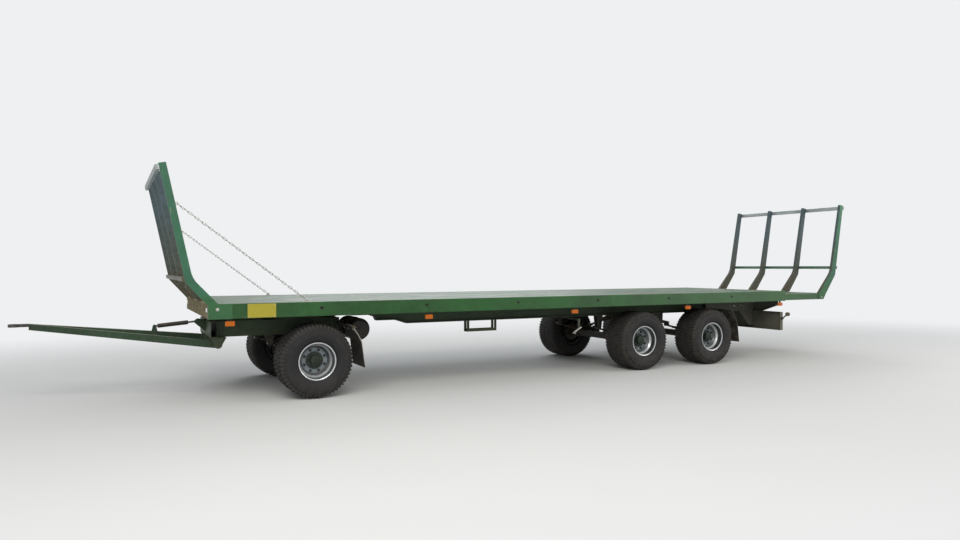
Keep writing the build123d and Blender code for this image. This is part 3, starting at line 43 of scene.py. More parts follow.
WHEEL_R = 0.466
WHEEL_Y = 1.0
AXLE_XS = (1.288 - MIDDLE, 6.554 - MIDDLE, 8.036 - MIDDLE)
AXLE_BODIES = ("dolly", "chassis", "chassis")
SPRING_YS = (0.45, 0.575, 0.575)
SIDES = (("left", -1), ("right", 1))
WHEELS = [(number, side_name, side, axle_x) for number, axle_x in enumerate(AXLE_XS, start=1)
          for side_name, side in SIDES]
RAIL_Y = 1.24
POST_Y = 1.215


# Materials

class Value:
    """A shader socket. Arithmetic on it adds Math nodes to its material."""

    def __init__(self, paint, socket):
        self.paint = paint
        self.socket = socket

    def _maths(self, operation, first, second=0.0, clamp=False):
        return self.paint.add("ShaderNodeMath", {"operation": operation, "use_clamp": clamp},
                              {0: first, 1: second})

    def __add__(self, other):
        return self._maths("ADD", self, other)

    def __sub__(self, other):
        return self._maths("SUBTRACT", self, other)

    def __rsub__(self, other):
        return self._maths("SUBTRACT", other, self)

    def __mul__(self, other):
        return self._maths("MULTIPLY", self, other)

    def __truediv__(self, other):
        return self._maths("DIVIDE", self, other)

    def __pow__(self, other):
        return self._maths("POWER", self, other)

    def __abs__(self):
        return self._maths("ABSOLUTE", self)

    __radd__ = __add__

    def clamped(self):
        return self._maths("ADD", self, 0.0, True)

    def highest(self, other):
        return self._maths("MAXIMUM", self, other)

    def part(self, name):
        """One channel of a vector."""
        return self.paint.add("ShaderNodeSeparateXYZ", {}, {0: self}, name)


class Paint:
    """The nodes that one material, or the world, is mixed from."""

    def __init__(self, name, world=False):
        self.owner = bpy.data.worlds.new(name) if world else bpy.data.materials.new(name)
        self.owner.use_nodes = True
        self.nodes = self.owner.node_tree.nodes
        self.links = self.owner.node_tree.links
        self.nodes.clear()

    def add(self, kind, settings=None, inputs=None, out=0):
        node = self.nodes.new(kind)
        for key, value in (settings or {}).items():
            setattr(node, key, value)
        for key, value in (inputs or {}).items():
            socket = node.inputs[key]
            if isinstance(value, Value):
                self.links.new(value.socket, socket)
            elif isinstance(value, tuple) and len(value) == 3 and socket.type == "RGBA":
                socket.default_value = (*value, 1)
            else:
                socket.default_value = value
        return Value(self, node.outputs[out])

    def place(self, scale=(1, 1, 1), shift=(0, 0, 0)):
        """Object coordinates, moved or stretched for a pattern."""
        where = self.add("ShaderNodeTexCoord", {}, {}, "Object")
        return self.add("ShaderNodeMapping", {}, {"Vector": where, "Location": shift, "Scale": scale})

    def facing(self, axis):
        return self.add("ShaderNodeNewGeometry", {}, {}, "Normal").part(axis)

    def noise(self, scale, detail=4.0, rough=0.6, stretch=(1, 1, 1), distortion=0.0):
        return self.add("ShaderNodeTexNoise", {}, {
            "Vector": self.place(stretch), "Scale": scale, "Detail": detail, "Roughness": rough,
            "Distortion": distortion}, "Fac")

    def cells(self, scale):
        return self.add("ShaderNodeTexVoronoi", {}, {"Vector": self.place(), "Scale": scale}, "Distance")

    def waves(self, direction, scale):
        return self.add("ShaderNodeTexWave", {"bands_direction": direction}, {
            "Vector": self.place(), "Scale": scale}, "Fac")

    def step(self, value, low, high):
        """0 below low, 1 above high, smooth between; low may be the larger one."""
        return self.add("ShaderNodeMapRange", {"interpolation_type": "SMOOTHSTEP"}, {
            "Value": value, "From Min": low, "From Max": high, "To Min": 0.0, "To Max": 1.0})

    def mix(self, share, first, second):
        return self.add("ShaderNodeMix", {"data_type": "RGBA"}, {0: share, 6: first, 7: second}, 2)

    def bump(self, height, depth, strength=1.0, over=None):
        inputs = {"Height": height, "Distance": depth, "Strength": strength}
        if over is not None:
            inputs["Normal"] = over
        return self.add("ShaderNodeBump", {}, inputs)

    def finish(self, colour, rough, metal=0.0, normal=None, **more):
        inputs = {"Base Color": colour, "Roughness": rough, "Metallic": metal}
        if normal is not None:
            inputs["Normal"] = normal
        for key, value in more.items():
            inputs[key.replace("_", " ")] = value
        return self.close(self.add("ShaderNodeBsdfPrincipled", {}, inputs))

    def close(self, shader, kind="ShaderNodeOutputMaterial"):
        end = self.nodes.new(kind)
        self.links.new(shader.socket, end.inputs["Surface"])
        return self.owner

    def seen(self):
        """1 for what the camera sees straight on, in a mirror or through glass."""
        kinds = ("Camera", "Glossy", "Transmission")
        ways = [self.add("ShaderNodeLightPath", {}, {}, f"Is {kind} Ray") for kind in kinds]
        return ways[0].highest(ways[1]).highest(ways[2])


def rgb(code):
    """A colour written as six hex digits, in Blender's linear light."""
    parts = [int(code[i:i + 2], 16) / 255 for i in (0, 2, 4)]
    return tuple(c / 12.92 if c <= 0.04045 else ((c + 0.055) / 1.055) ** 2.4 for c in parts)


DUST = rgb("a39678")
MUD = rgb("6a5c46")
RUST = rgb("5d3d2a")


def painted(name, base, deep, dust=0.35, chips=0.5, low_dirt=0.75, gloss=0.42, coat=0.1, rear_sheen=0.0, shine=0.25):
    """Sprayed enamel on steel: uneven tone, pale dust on what faces up, dirt low down, chips and streaks."""
    p = Paint(name)
    height = p.place().part("Z")
    tone = p.step(p.noise(1.3, 3.0), 0.3, 0.75)
    colour = p.mix(tone, deep, base)
    faded = p.step(p.noise(7.0, 5.0, 0.65), 0.45, 0.8)
    colour = p.mix(faded * 0.22, colour, tuple(min(1.0, c * 1.6 + 0.02) for c in base))
    # rear_sheen: a painted sheen, the paint turned grey-green and paler towards the rear
    if rear_sheen:
        colour = p.mix(p.step(p.place().part("X"), -1.5, 4.5) * rear_sheen, colour, rgb("68806a"))
    streaks = p.step(p.noise(9.0, 4.0, 0.7, (6.0, 6.0, 0.5)), 0.52, 0.78) * 0.12
    colour = p.mix(streaks, colour, MUD)
    up = p.step(p.facing("Z"), 0.55, 0.95)
    settled = p.step(p.noise(16.0, 6.0, 0.7), 0.35, 0.7)
    low = p.step(height, low_dirt, low_dirt - 0.5)
    dusty = ((up * 0.5 + low * 0.55 + 0.12) * (settled * 0.65 + 0.3) * (dust * 2)).clamped()
    colour = p.mix(dusty, colour, DUST)
    spots = p.noise(38.0, 6.0, 0.75)
    worn = p.noise(2.6, 2.0)
    chipped = p.step(spots, 0.735 - chips * 0.06, 0.76 - chips * 0.06) * p.step(worn, 0.45, 0.6)
    colour = p.mix(chipped, colour, RUST)
    rough = (gloss + dusty * 0.45 + chipped * 0.3 + (spots - 0.5) * 0.12).clamped()
    peel = p.bump(p.noise(210.0, 2.0), 0.00035, 0.5)
    normal = p.bump(chipped, 0.0008, 0.6, peel)
    return p.finish(colour, rough, 0.0, normal, Coat_Weight=(coat - dusty * coat).clamped(),
                    Coat_Roughness=0.15, Specular_IOR_Level=shine)


def ladder_paint(name, base, deep):
    """The ladders: clean bright outer flanks; other faces rubbed, with dark patches of painted shade, banded by
    height.
    """
    p = Paint(name)
    side = p.step(abs(p.facing("Y")), 0.4, 0.8) * p.step(abs(p.place().part("Y")), 1.20, 1.23)
    tone = p.step(p.noise(2.2, 4.0), 0.3, 0.75)
    height = p.place().part("Z")
    foot = p.step(height, 1.34, 1.26)
    flank = p.mix(foot, p.mix(tone, deep, base), p.mix(tone, rgb("174a24"), rgb("205c2d")))
    rubbed = p.step(p.noise(5.0, 6.0, 0.7, (1.0, 1.0, 3.5)), 0.3, 0.6)
    upper = p.mix(p.step(height, 1.9, 2.5), rgb("49504d"), rgb("46555e"))
    grey = p.mix(p.step(height, 1.25, 1.95), rgb("4b4029"), upper)
    # Faces other than the outer flanks: dark green 14342a in patches, a painted shade, mixed with the bands by height
    colour = p.mix(side, p.mix(rubbed * 0.75 + 0.15, rgb("14342a"), grey), flank)
    scratch = p.step(p.noise(24.0, 5.0, 0.75, (1.0, 1.0, 0.12)), 0.62, 0.72)
    colour = p.mix(scratch * 0.45, colour, rgb("9a9a86"))
    spots = p.step(p.noise(34.0, 6.0, 0.75), 0.7, 0.73)
    colour = p.mix(spots * 0.8, colour, RUST)
    rough = (0.42 + rubbed * 0.2 + scratch * 0.15 + spots * 0.25).clamped()
    normal = p.bump(p.noise(180.0, 2.0) + scratch * 0.4, 0.0005, 0.5)
    return p.finish(colour, rough, 0.0, normal, Coat_Weight=side * 0.3, Coat_Roughness=0.15)


def bar_paint():
    """The bars across the ladders: high ones rubbed pale, low ones green, the front low one browned."""
    p = Paint("rubbed_bar")
    high = p.step(p.place().part("Z"), 2.55, 2.65)
    worn = p.step(p.noise(11.0, 6.0, 0.72, (1.0, 0.3, 1.0)), 0.36, 0.6)
    green = p.mix(p.noise(3.0), rgb("16492c"), rgb("22683c"))
    pale = p.mix(p.noise(26.0, 5.0, 0.7), rgb("8b9194"), rgb("b4b9bb"))
    colour = p.mix((high * (worn * 0.5 + 0.5) + (1 - high) * worn * 0.25).clamped(), green, pale)
    colour = p.mix(p.step(p.place().part("Z"), 1.60, 1.56) * 0.9, colour, rgb("4c432c"))
    rust = p.step(p.noise(30.0, 6.0, 0.78), 0.66, 0.7)
    colour = p.mix(rust * 0.7, colour, RUST)
    normal = p.bump(p.noise(90.0, 4.0) + rust * 0.5, 0.0006, 0.6)
    return p.finish(colour, (0.4 + worn * 0.15 + rust * 0.3).clamped(), high * worn * 0.35, normal)


def floor_paint():
    """Loading floor: paint scuffed along its length, rust, and pale flecks in patches."""
    p = Paint("deck_floor")
    base = p.mix(p.step(p.noise(1.1, 4.0), 0.3, 0.7), rgb("17452c"), rgb("245e3b"))
    scuff = p.step(p.noise(5.0, 7.0, 0.75, (0.25, 1.0, 1.0)), 0.42, 0.66)
    bare = p.mix(p.noise(40.0, 5.0, 0.7), rgb("6b655a"), rgb("908a7c"))
    colour = p.mix(scuff * 0.55, base, bare)
    rust = p.step(p.noise(8.0, 7.0, 0.78), 0.56, 0.68)
    colour = p.mix(rust * 0.6, colour, RUST)
    patches = p.step(p.noise(1.7, 3.0), 0.35, 0.7)
    flecks = p.step(p.noise(70.0, 4.0, 0.7, (1.0, 2.4, 1.0), 0.6), 0.56, 0.66) * patches
    colour = p.mix(flecks * 0.8, colour, rgb("b7a271"))
    normal = p.bump(p.noise(60.0, 5.0) + flecks * 0.8, 0.0012, 0.7)
    return p.finish(colour, (0.5 + flecks * 0.35 + rust * 0.2 - scuff * 0.1).clamped(), 0.0, normal)


def running_gear():
    """Axles, hangers and rockers: black paint under dirt, with rust."""
    p = Paint("dirty_black")
    tone = p.noise(6.0, 5.0, 0.7)
    colour = p.mix(p.step(tone, 0.35, 0.7), rgb("1c1d1b"), rgb("2e2f2b"))
    dirt = p.step(p.noise(13.0, 6.0, 0.72), 0.42, 0.68)
    up = p.step(p.facing("Z"), 0.2, 0.9)
    colour = p.mix((dirt * 0.55 + up * 0.35).clamped(), colour, MUD)
    rust = p.step(p.noise(22.0, 6.0, 0.78), 0.6, 0.68)
    colour = p.mix(rust * 0.6, colour, RUST)
    normal = p.bump(p.noise(120.0, 5.0) + dirt * 0.6, 0.0015, 0.7)
    return p.finish(colour, (0.55 + dirt * 0.3).clamped(), 0.0, normal)


def spring_steel():
    """Leaf springs: scale and rust along the leaves."""
    p = Paint("spring_leaves")
    grain = p.noise(30.0, 5.0, 0.7, (0.15, 1.0, 1.0))
    colour = p.mix(p.step(grain, 0.35, 0.7), rgb("25221f"), rgb("4a3a2d"))
    dirt = p.step(p.noise(10.0, 6.0, 0.7), 0.45, 0.7)
    colour = p.mix(dirt * 0.6, colour, MUD)
    return p.finish(colour, (0.5 + dirt * 0.3).clamped(), 0.35, p.bump(grain + dirt * 0.5, 0.001, 0.7))


def steel(name, pale, dark, metal, rough, rust, grain=60.0):
    """Bare or plated steel with stains."""
    p = Paint(name)
    cloud = p.noise(grain, 5.0, 0.7)
    colour = p.mix(p.step(cloud, 0.3, 0.72), dark, pale)
    stain = p.step(p.noise(24.0, 6.0, 0.75), 0.6, 0.72) * rust
    colour = p.mix(stain, colour, RUST)
    return p.finish(colour, (rough + stain * 0.4 + cloud * 0.12).clamped(), (metal - stain * metal).clamped(),
                    p.bump(cloud, 0.0004, 0.5))


def plastic(name, base, dust):
    """Moulded black plastic or rubber sheet with dust on it."""
    p = Paint(name)
    tone = p.mix(p.noise(4.0, 4.0), base, tuple(c * 1.7 for c in base))
    settled = p.step(p.noise(12.0, 6.0, 0.72), 0.38, 0.7) * dust
    up = p.step(p.facing("Z"), 0.1, 0.9) * dust
    cover = (settled * 0.7 + up * 0.6).clamped()
    colour = p.mix(cover, tone, DUST)
    return p.finish(colour, (0.55 + cover * 0.3).clamped(), 0.0, p.bump(p.noise(240.0, 3.0), 0.0005, 0.6))


def rubber(axle_x, dirt):
    """Tyre rubber: charcoal, with a little pale dust in the grooves and on the flank."""
    p = Paint(f"tyre_rubber_{round(axle_x * 10)}")
    centred = p.place(shift=(-axle_x, 0, -WHEEL_R))
    out = (centred.part("X") ** 2 + centred.part("Z") ** 2) ** 0.5
    tone = p.mix(p.noise(9.0, 5.0, 0.7), rgb("111114"), rgb("222226"))
    groove = p.step(out, 0.4625, 0.453) * p.step(out, 0.41, 0.45)
    smear = p.step(p.noise(14.0, 6.0, 0.75), 0.32, 0.72)
    low = p.step(centred.part("Z"), -0.02, -0.34)
    flank = p.step(out, 0.3, 0.42)
    cover = (groove * 0.14 + smear * (flank * 0.10 + low * 0.10 + dirt) + 0.04).clamped()
    colour = p.mix(cover, tone, p.mix(p.noise(5.0, 3.0), rgb("665f54"), rgb("7d766a")))
    rings = p.add("ShaderNodeMath", {"operation": "SINE"}, {0: out * 900.0}) * p.step(out, 0.34, 0.33)
    normal = p.bump(rings * 0.25 + p.noise(160.0, 4.0), 0.0005, 0.4)
    return p.finish(colour, (0.62 + cover * 0.3).clamped(), 0.0, normal, Specular_IOR_Level=0.3)


def rim_paint(axle_x):
    """Silver rims: painted highlights on rolled edge and ledge, painted shade on barrel, dish and groove; dust; dark
    green hub.
    """
    p = Paint(f"rim_silver_{round(axle_x * 10)}")
    centred = p.place(shift=(-axle_x, 0, -WHEEL_R))
    out = (centred.part("X") ** 2 + centred.part("Z") ** 2) ** 0.5
    depth = abs(centred.part("Y")) - WHEEL_Y
    cloud = p.noise(16.0, 5.0, 0.7)
    silver = p.mix(cloud, rgb("b9bec1"), rgb("dde1e3"))
    # The barrel and the dish get darker greys than the silver: painted shade
    shaded_wall = p.mix(cloud, rgb("4b5053"), rgb("666b6e"))
    shaded_disc = p.mix(cloud, rgb("6f7b80"), rgb("8e9a9f"))
    # Lip and ledge keep the bright silver as painted highlights; the groove between gets a dark ring, a painted
    # shadow
    lip = p.step(out, 0.2230, 0.2245)
    groove_shadow = p.step(out, 0.2085, 0.2100) * (1 - lip)
    ledge = p.step(out, 0.2105, 0.2095) * p.step(out, 0.186, 0.190) * p.step(depth, 0.092, 0.098)
    flat = p.step(out, 0.164, 0.158)
    colour = p.mix(flat, shaded_wall, shaded_disc)
    colour = p.mix(lip.highest(ledge), colour, silver)
    colour = p.mix(groove_shadow, colour, p.mix(cloud, rgb("2d3032"), rgb("44484b")))
    hub = p.step(out, 0.1125, 0.1105)
    green = p.mix(p.noise(12.0), rgb("121f18"), rgb("1a2a21"))
    colour = p.mix(hub, colour, green)
    inside = p.step(depth, -0.02, -0.08)
    colour = p.mix(inside, colour, rgb("3a3a38"))
    dust = p.step(p.noise(20.0, 6.0, 0.72), 0.42, 0.72) * (1 - lip * 0.7)
    colour = p.mix(dust * (0.32 - hub * 0.2), colour, rgb("857c68"))
    return p.finish(colour, (0.32 + dust * 0.35 + hub * 0.2).clamped(),
                    ((lip.highest(ledge) * 0.4 + 0.2) * (1 - hub) * (1 - dust * 0.6)).clamped(),
                    p.bump(p.noise(130.0, 3.0) + dust * 0.3, 0.0004, 0.5), Coat_Weight=0.2)


def marker_lens():
    """Amber side lamps with a black back and stem."""
    p = Paint("side_marker")
    height = p.place().part("Z")
    side = abs(p.place().part("Y"))
    glass = p.step(side, 1.2145, 1.2155) * p.step(height, 1.0085, 1.0065)
    ribs = p.waves("X", 62.0)
    amber = p.mix(ribs * 0.5 + p.noise(30.0) * 0.4, rgb("b24e05"), rgb("c27014"))
    black = p.mix(p.noise(30.0), rgb("181818"), rgb("2b2a28"))
    colour = p.mix(glass, black, amber)
    normal = p.bump(ribs * glass, 0.0008, 0.6)
    return p.finish(colour, (0.55 - glass * 0.2).clamped(), 0.0, normal, Coat_Weight=glass * 0.12,
                    Specular_IOR_Level=0.25)


def crank_paint():
    """A bright plated handle on a dark strip."""
    p = Paint("brake_crank")
    handle = p.step(p.place().part("Y"), -1.1300, -1.1306)
    cloud = p.noise(60.0, 5.0, 0.7)
    plated = p.mix(cloud, rgb("8e8d88"), rgb("b9b8b2"))
    colour = p.mix(handle, p.mix(cloud, rgb("1c211c"), rgb("2a302a")), plated)
    dust = p.step(p.noise(18.0, 6.0, 0.72), 0.45, 0.7) * 0.35
    colour = p.mix(dust, colour, DUST)
    return p.finish(colour, (0.42 + dust).clamped(), handle * 0.8, p.bump(cloud, 0.0004, 0.5))


def lens(name, dark, bright):
    """Ribbed lamp glass."""
    p = Paint(name)
    ribs = p.waves("Z", 70.0)
    colour = p.mix((ribs * 0.6 + p.noise(25.0) * 0.3).clamped(), dark, bright)
    dust = p.step(p.noise(35.0, 5.0), 0.5, 0.75) * 0.3
    colour = p.mix(dust, colour, DUST)
    return p.finish(colour, (0.15 + dust).clamped(), 0.0, p.bump(ribs, 0.0008, 0.6), Coat_Weight=0.8)


def plate_film():
    """The blank plate: reflective film, scuffed, with a fine grain of cells."""
    p = Paint("yellow_film")
    cell = p.cells(300.0)
    colour = p.mix(p.noise(10.0, 5.0, 0.7), rgb("9f9316"), rgb("afa424"))
    colour = p.mix(cell * 0.25, colour, rgb("857a16"))
    scuff = p.step(p.noise(45.0, 6.0, 0.75, (0.4, 1.0, 1.0)), 0.6, 0.72)
    colour = p.mix(scuff * 0.5, colour, rgb("72683a"))
    return p.finish(colour, (0.35 + scuff * 0.3).clamped(), 0.0, p.bump(cell, 0.0002, 0.4), Coat_Weight=0.3)


# The rails carry a painted sheen, paler towards the rear
rail_green = painted("rail_green", rgb("205727"), rgb("17441f"), dust=0.2, chips=0.45, low_dirt=0.6, rear_sheen=0.24)
end_green = painted("end_green", rgb("524f39"), rgb("35412c"), dust=0.8, chips=0.6, low_dirt=1.6, gloss=0.85,
                    coat=0.0, shine=0.12)
# frame_green: the frame's green turned grey-olive, a painted reflection of the ground below it
frame_green = painted("frame_green", rgb("435342"), rgb("374637"), dust=0.2, chips=0.6, low_dirt=1.0, coat=0.0,
                      shine=0.08)
draw_green = painted("drawbar_green", rgb("2a4431"), rgb("1f3526"), dust=0.26, chips=0.8, low_dirt=0.45, gloss=0.6,
                     coat=0.05)
tail_green = painted("tail_green", rgb("5a5b54"), rgb("4a4b44"), dust=0.16, chips=0.4, low_dirt=1.0, gloss=0.6,
                     coat=0.05)
hub_green = painted("hub_green", rgb("1a2a20"), rgb("121e17"), dust=0.15, chips=0.4, low_dirt=0.3, gloss=0.5)
ladder_green = ladder_paint("ladder_green", rgb("246846"), rgb("1b5239"))
rubbed_bar = bar_paint()
deck_floor = floor_paint()
dirty_black = running_gear()
spring_leaves = spring_steel()
satin_black = painted("satin_black", rgb("20201d"), rgb("141412"), dust=0.3, chips=0.3)
chain_steel = steel("chain_zinc", rgb("c9c8c2"), rgb("8b8982"), 0.9, 0.32, 0.35)
bolt_zinc = steel("bolt_zinc", rgb("d2d1cb"), rgb("9d9b94"), 0.85, 0.35, 0.25)
dark_bolt = steel("dark_bolt", rgb("4a4a48"), rgb("2b2b2a"), 0.7, 0.45, 0.5)
forged = steel("forged_eye", rgb("5b5a57"), rgb("343331"), 0.75, 0.45, 0.5, 30.0)
rod_steel = steel("rod_steel", rgb("63625e"), rgb("3c3b38"), 0.8, 0.35, 0.3)
guard_plastic = plastic("guard_plastic", rgb("1b1b1c"), 0.35)
lamp_black = plastic("lamp_black", rgb("1a1a1b"), 0.3)
# guard_highlight: pale grey plastic for the front guards' outer lip, a painted highlight along that edge
guard_highlight = plastic("guard_highlight", rgb("7d7c78"), 0.5)
marker = marker_lens()
red_lens = lens("red_lens", rgb("7d0d0b"), rgb("c41b14"))
amber_lens = lens("amber_lens", rgb("c75a06"), rgb("f58a1c"))
clear_lens = lens("clear_lens", rgb("c9cccc"), rgb("f0f2f2"))
dim_lens = lens("dim_lens", rgb("4a3a1c"), rgb("6a5226"))
yellow_film = plate_film()
rim_silver = [rim_paint(x) for x in AXLE_XS]
tyre_rubber = [rubber(x, dirt) for x, dirt in zip(AXLE_XS, (0.0, 0.04, 0.06))]

NODE_PAINT = (
    (rail_green, ("side_rail_left", "side_rail_right", "slide_frame")),
    (end_green, ("end_beams",)),
    (deck_floor, ("floor_panels", "slide_floor")),
    (frame_green, ("cross_members", "rear_stringers", "main_beams", "turntable_upper", "slide_guides",
                   "slide_beams", "dolly_frame", "carrier")),
    (satin_black, ("turntable_lower", "air_tank", "cylinder_barrel")),
    (ladder_green, ("front_ladder_posts", "rear_ladder_posts")),
    (rubbed_bar, ("front_ladder_bars", "rear_ladder_bars")),
    (tail_green, ("light_beam",)),
    (draw_green, ("drawbar_frame",)),
    (bolt_zinc, ("chain_lugs",)),
    (spring_leaves, ("rear_leaf_springs", "front_leaf_springs")),
    (dirty_black, ("rear_spring_hangers", "front_spring_hangers", "equalisers", "rear_axles", "front_axle")),
    (guard_plastic, ("rear_mudguards", "front_mudguards")),
    (marker, ("side_markers",)),
    (yellow_film, ("info_plate",)),
    (crank_paint(), ("brake_crank",)),
    (lamp_black, ("rear_lamps",)),
    (forged, ("towing_eye",)),
    (rod_steel, ("cylinder_rod",)),
    *((rim_silver[number - 1], (f"rim_{number}_{side_name}",)) for number, side_name, _, _ in WHEELS),
)
for material, names in NODE_PAINT:
    for name in names:
        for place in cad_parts[name].material_slots:
            place.material = material


# Mesh helpers

def plain_mesh(name, points, faces=()):
    mesh = bpy.data.meshes.new(name)
    mesh.from_pydata([tuple(p) for p in points], [], faces)
    return mesh


def linked(name, data):
    obj = bpy.data.objects.new(name, data)
    bpy.context.scene.collection.objects.link(obj)
    return obj


def placed(name, mesh, material, body, smooth=None):
    """A finished mesh piece that rides on a body. smooth is the sharpest angle still shaded round."""
    tidy = bmesh.new()
    tidy.from_mesh(mesh)
    bmesh.ops.remove_doubles(tidy, verts=tidy.verts, dist=1e-6)
    bmesh.ops.recalc_face_normals(tidy, faces=tidy.faces)
    tidy.to_mesh(mesh)
    tidy.free()
    mesh.materials.clear()
    mesh.materials.append(material)
    if smooth is not None:
        mesh.shade_smooth()
        mesh.set_sharp_from_angle(angle=math.radians(smooth))
    obj = linked(name, mesh)
    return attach(obj, body)


class Shape:
    """Points and faces of several forms that end in one mesh."""

    def __init__(self):
        self.points = []
        self.faces = []

    def join(self, points, faces, matrix=Matrix()):
        start = len(self.points)
        self.points += [matrix @ Vector(p) for p in points]
        self.faces += [[start + i for i in face] for face in faces]

    def make(self, name, material, body, smooth=None):
        return placed(name, plain_mesh(name, self.points, self.faces), material, body, smooth)


def single(name, form, matrix, material, body, smooth=None):
    """A piece that is one form."""
    shape = Shape()
    shape.join(*form, matrix)
    return shape.make(name, material, body, smooth)


def angles(count, start=0.0):
    """Evenly spread angles of a full circle. start is a share of one step."""
    return [2 * math.pi * (i + start) / count for i in range(count)]


def turned(profile, sides):
    """A form turned about z from (radius, height) points; a radius of 0 closes to a pole."""
    points, faces, rings = [], [], []
    for radius, height in profile:
        if radius == 0:
            rings.append([len(points)] * sides)
            points.append((0, 0, height))
        else:
            rings.append([len(points) + i for i in range(sides)])
            points += [(radius * math.cos(a), radius * math.sin(a), height) for a in angles(sides)]
    for low, high in zip(rings, rings[1:]):
        for i in range(sides):
            j = (i + 1) % sides
            face = [low[i], low[j], high[j], high[i]]
            faces.append([v for k, v in enumerate(face) if v not in face[:k]])
    return points, faces


def swept(path, radius, sides=10, closed=False):
    """A round bar that follows points."""
    line = [Vector(p) for p in path]
    count = len(line)
    points, faces = [], []
    across = None
    for i, here in enumerate(line):
        before = line[(i - 1) % count] if closed or i else here
        after = line[(i + 1) % count] if closed or i < count - 1 else here
        along = (after - before).normalized()
        if across is None:
            across = along.orthogonal().normalized()
        across = (across - along * across.dot(along)).normalized()
        other = along.cross(across)
        points += [here + (across * math.cos(a) + other * math.sin(a)) * radius for a in angles(sides)]
    for i in range(count if closed else count - 1):
        j = (i + 1) % count
        for k in range(sides):
            m = (k + 1) % sides
            faces.append([i * sides + k, i * sides + m, j * sides + m, j * sides + k])
    if not closed:
        faces.append(list(range(sides)))
        faces.append([(count - 1) * sides + k for k in range(sides)])
    return points, faces


def slab(length, width, height, edge):
    """A block about the origin with small chamfers on its edges."""
    half = (length / 2, width / 2, height / 2)
    points, faces = [], []
    corners = {}
    octants = [(sx, sy, sz) for sx in (-1, 1) for sy in (-1, 1) for sz in (-1, 1)]
    for octant in octants:
        for axis in range(3):
            at = [s * h for s, h in zip(octant, half)]
            for other in range(3):
                if other != axis:
                    at[other] -= octant[other] * edge
            corners[(*octant, axis)] = len(points)
            points.append(tuple(at))
    signs = ((-1, -1), (1, -1), (1, 1), (-1, 1))
    for axis in range(3):
        for s in (-1, 1):
            face = []
            for a, b in signs:
                key = [a, b]
                key.insert(axis, s)
                face.append(corners[(*key, axis)])
            faces.append(face)
        first, second = [k for k in range(3) if k != axis]
        for a, b in signs:
            ends = []
            for s in (-1, 1):
                key = [0, 0, 0]
                key[axis], key[first], key[second] = s, a, b
                ends.append((corners[(*key, first)], corners[(*key, second)]))
            faces.append([ends[0][0], ends[0][1], ends[1][1], ends[1][0]])
    return points, faces + [[corners[(*octant, axis)] for axis in range(3)] for octant in octants]


def prism(ends):
    """A solid between two outlines with as many points."""
    first, last = ends
    count = len(first)
    faces = [list(range(count)), list(range(count, 2 * count))]
    return first + last, faces + [[i, (i + 1) % count, count + (i + 1) % count, count + i] for i in range(count)]


def arc(centre, radius, start, end, steps):
    """Points on an arc in the x-z plane, angles in degrees from the rear."""
    spots = []
    for i in range(steps + 1):
        a = math.radians(start + (end - start) * i / steps)
        spots.append((centre[0] + radius * math.cos(a), centre[1], centre[2] + radius * math.sin(a)))
    return spots


def toward(direction):
    """The turn that brings z onto a direction."""
    return Vector(direction).to_track_quat("Z", "Y").to_matrix().to_4x4()


# Geometry Nodes

class Tree:
    """A Geometry Nodes group that is built link by link."""

    def __init__(self, name, sizes):
        self.group = bpy.data.node_groups.new(name, "GeometryNodeTree")
        face = self.group.interface
        face.new_socket("Geometry", in_out="INPUT", socket_type="NodeSocketGeometry")
        for label, kind in sizes:
            face.new_socket(label, in_out="INPUT", socket_type=f"NodeSocket{kind}")
        face.new_socket("Geometry", in_out="OUTPUT", socket_type="NodeSocketGeometry")
        self.start = self.group.nodes.new("NodeGroupInput")
        self.end = self.group.nodes.new("NodeGroupOutput")

    def add(self, kind, settings=None, inputs=None):
        """Adds a node and gives its first output."""
        node = self.group.nodes.new(kind)
        for key, value in (settings or {}).items():
            setattr(node, key, value)
        for key, value in (inputs or {}).items():
            if isinstance(value, bpy.types.NodeSocket):
                self.group.links.new(value, node.inputs[key])
            else:
                node.inputs[key].default_value = value
        return node.outputs[0]

    def maths(self, operation, first, second):
        return self.add("ShaderNodeMath", {"operation": operation}, {0: first, 1: second})

    def close(self, points, form, rotation):
        """Ends the tree with a turned copy of a form on each point."""
        copies = self.add("GeometryNodeInstanceOnPoints", {}, {
            "Points": points, "Instance": form, "Rotation": rotation})
        real = self.add("GeometryNodeRealizeInstances", {}, {"Geometry": copies})
        skin = self.add("GeometryNodeSetMaterial", {}, {"Geometry": real, "Material": self.start.outputs["Material"]})
        self.group.links.new(skin, self.end.inputs[0])
        return self

    def grow(self, name, mesh, sizes, material, body, slot, smooth=None):
        """Runs the tree on a mesh and keeps the result as a plain piece."""
        source = linked(name + "_source", mesh)
        run = source.modifiers.new("repeat", "NODES")
        run.node_group = self.group
        given = {**sizes, "Material": material}
        for item in self.group.interface.items_tree:
            if item.in_out == "INPUT" and item.name in given:
                run[item.identifier] = given[item.name]
        ready = source.evaluated_get(bpy.context.evaluated_depsgraph_get())
        result = bpy.data.meshes.new_from_object(ready)
        bpy.data.objects.remove(source)
        return placed(name, result, material, body, smooth)


def ring_tree():
    """Copies of a form turned about the y axis, evenly round a circle."""
    tree = Tree("copies_round_an_axle", (("Count", "Int"), ("Material", "Material")))
    count = tree.start.outputs["Count"]
    line = tree.add("GeometryNodeMeshLine", {}, {"Count": count, "Offset": (0, 0, 0)})
    angle = tree.maths("MULTIPLY", tree.add("GeometryNodeInputIndex"), tree.maths("DIVIDE", 2 * math.pi, count))
    return tree.close(line, tree.start.outputs[0], tree.add("ShaderNodeCombineXYZ", {}, {"Y": angle}))


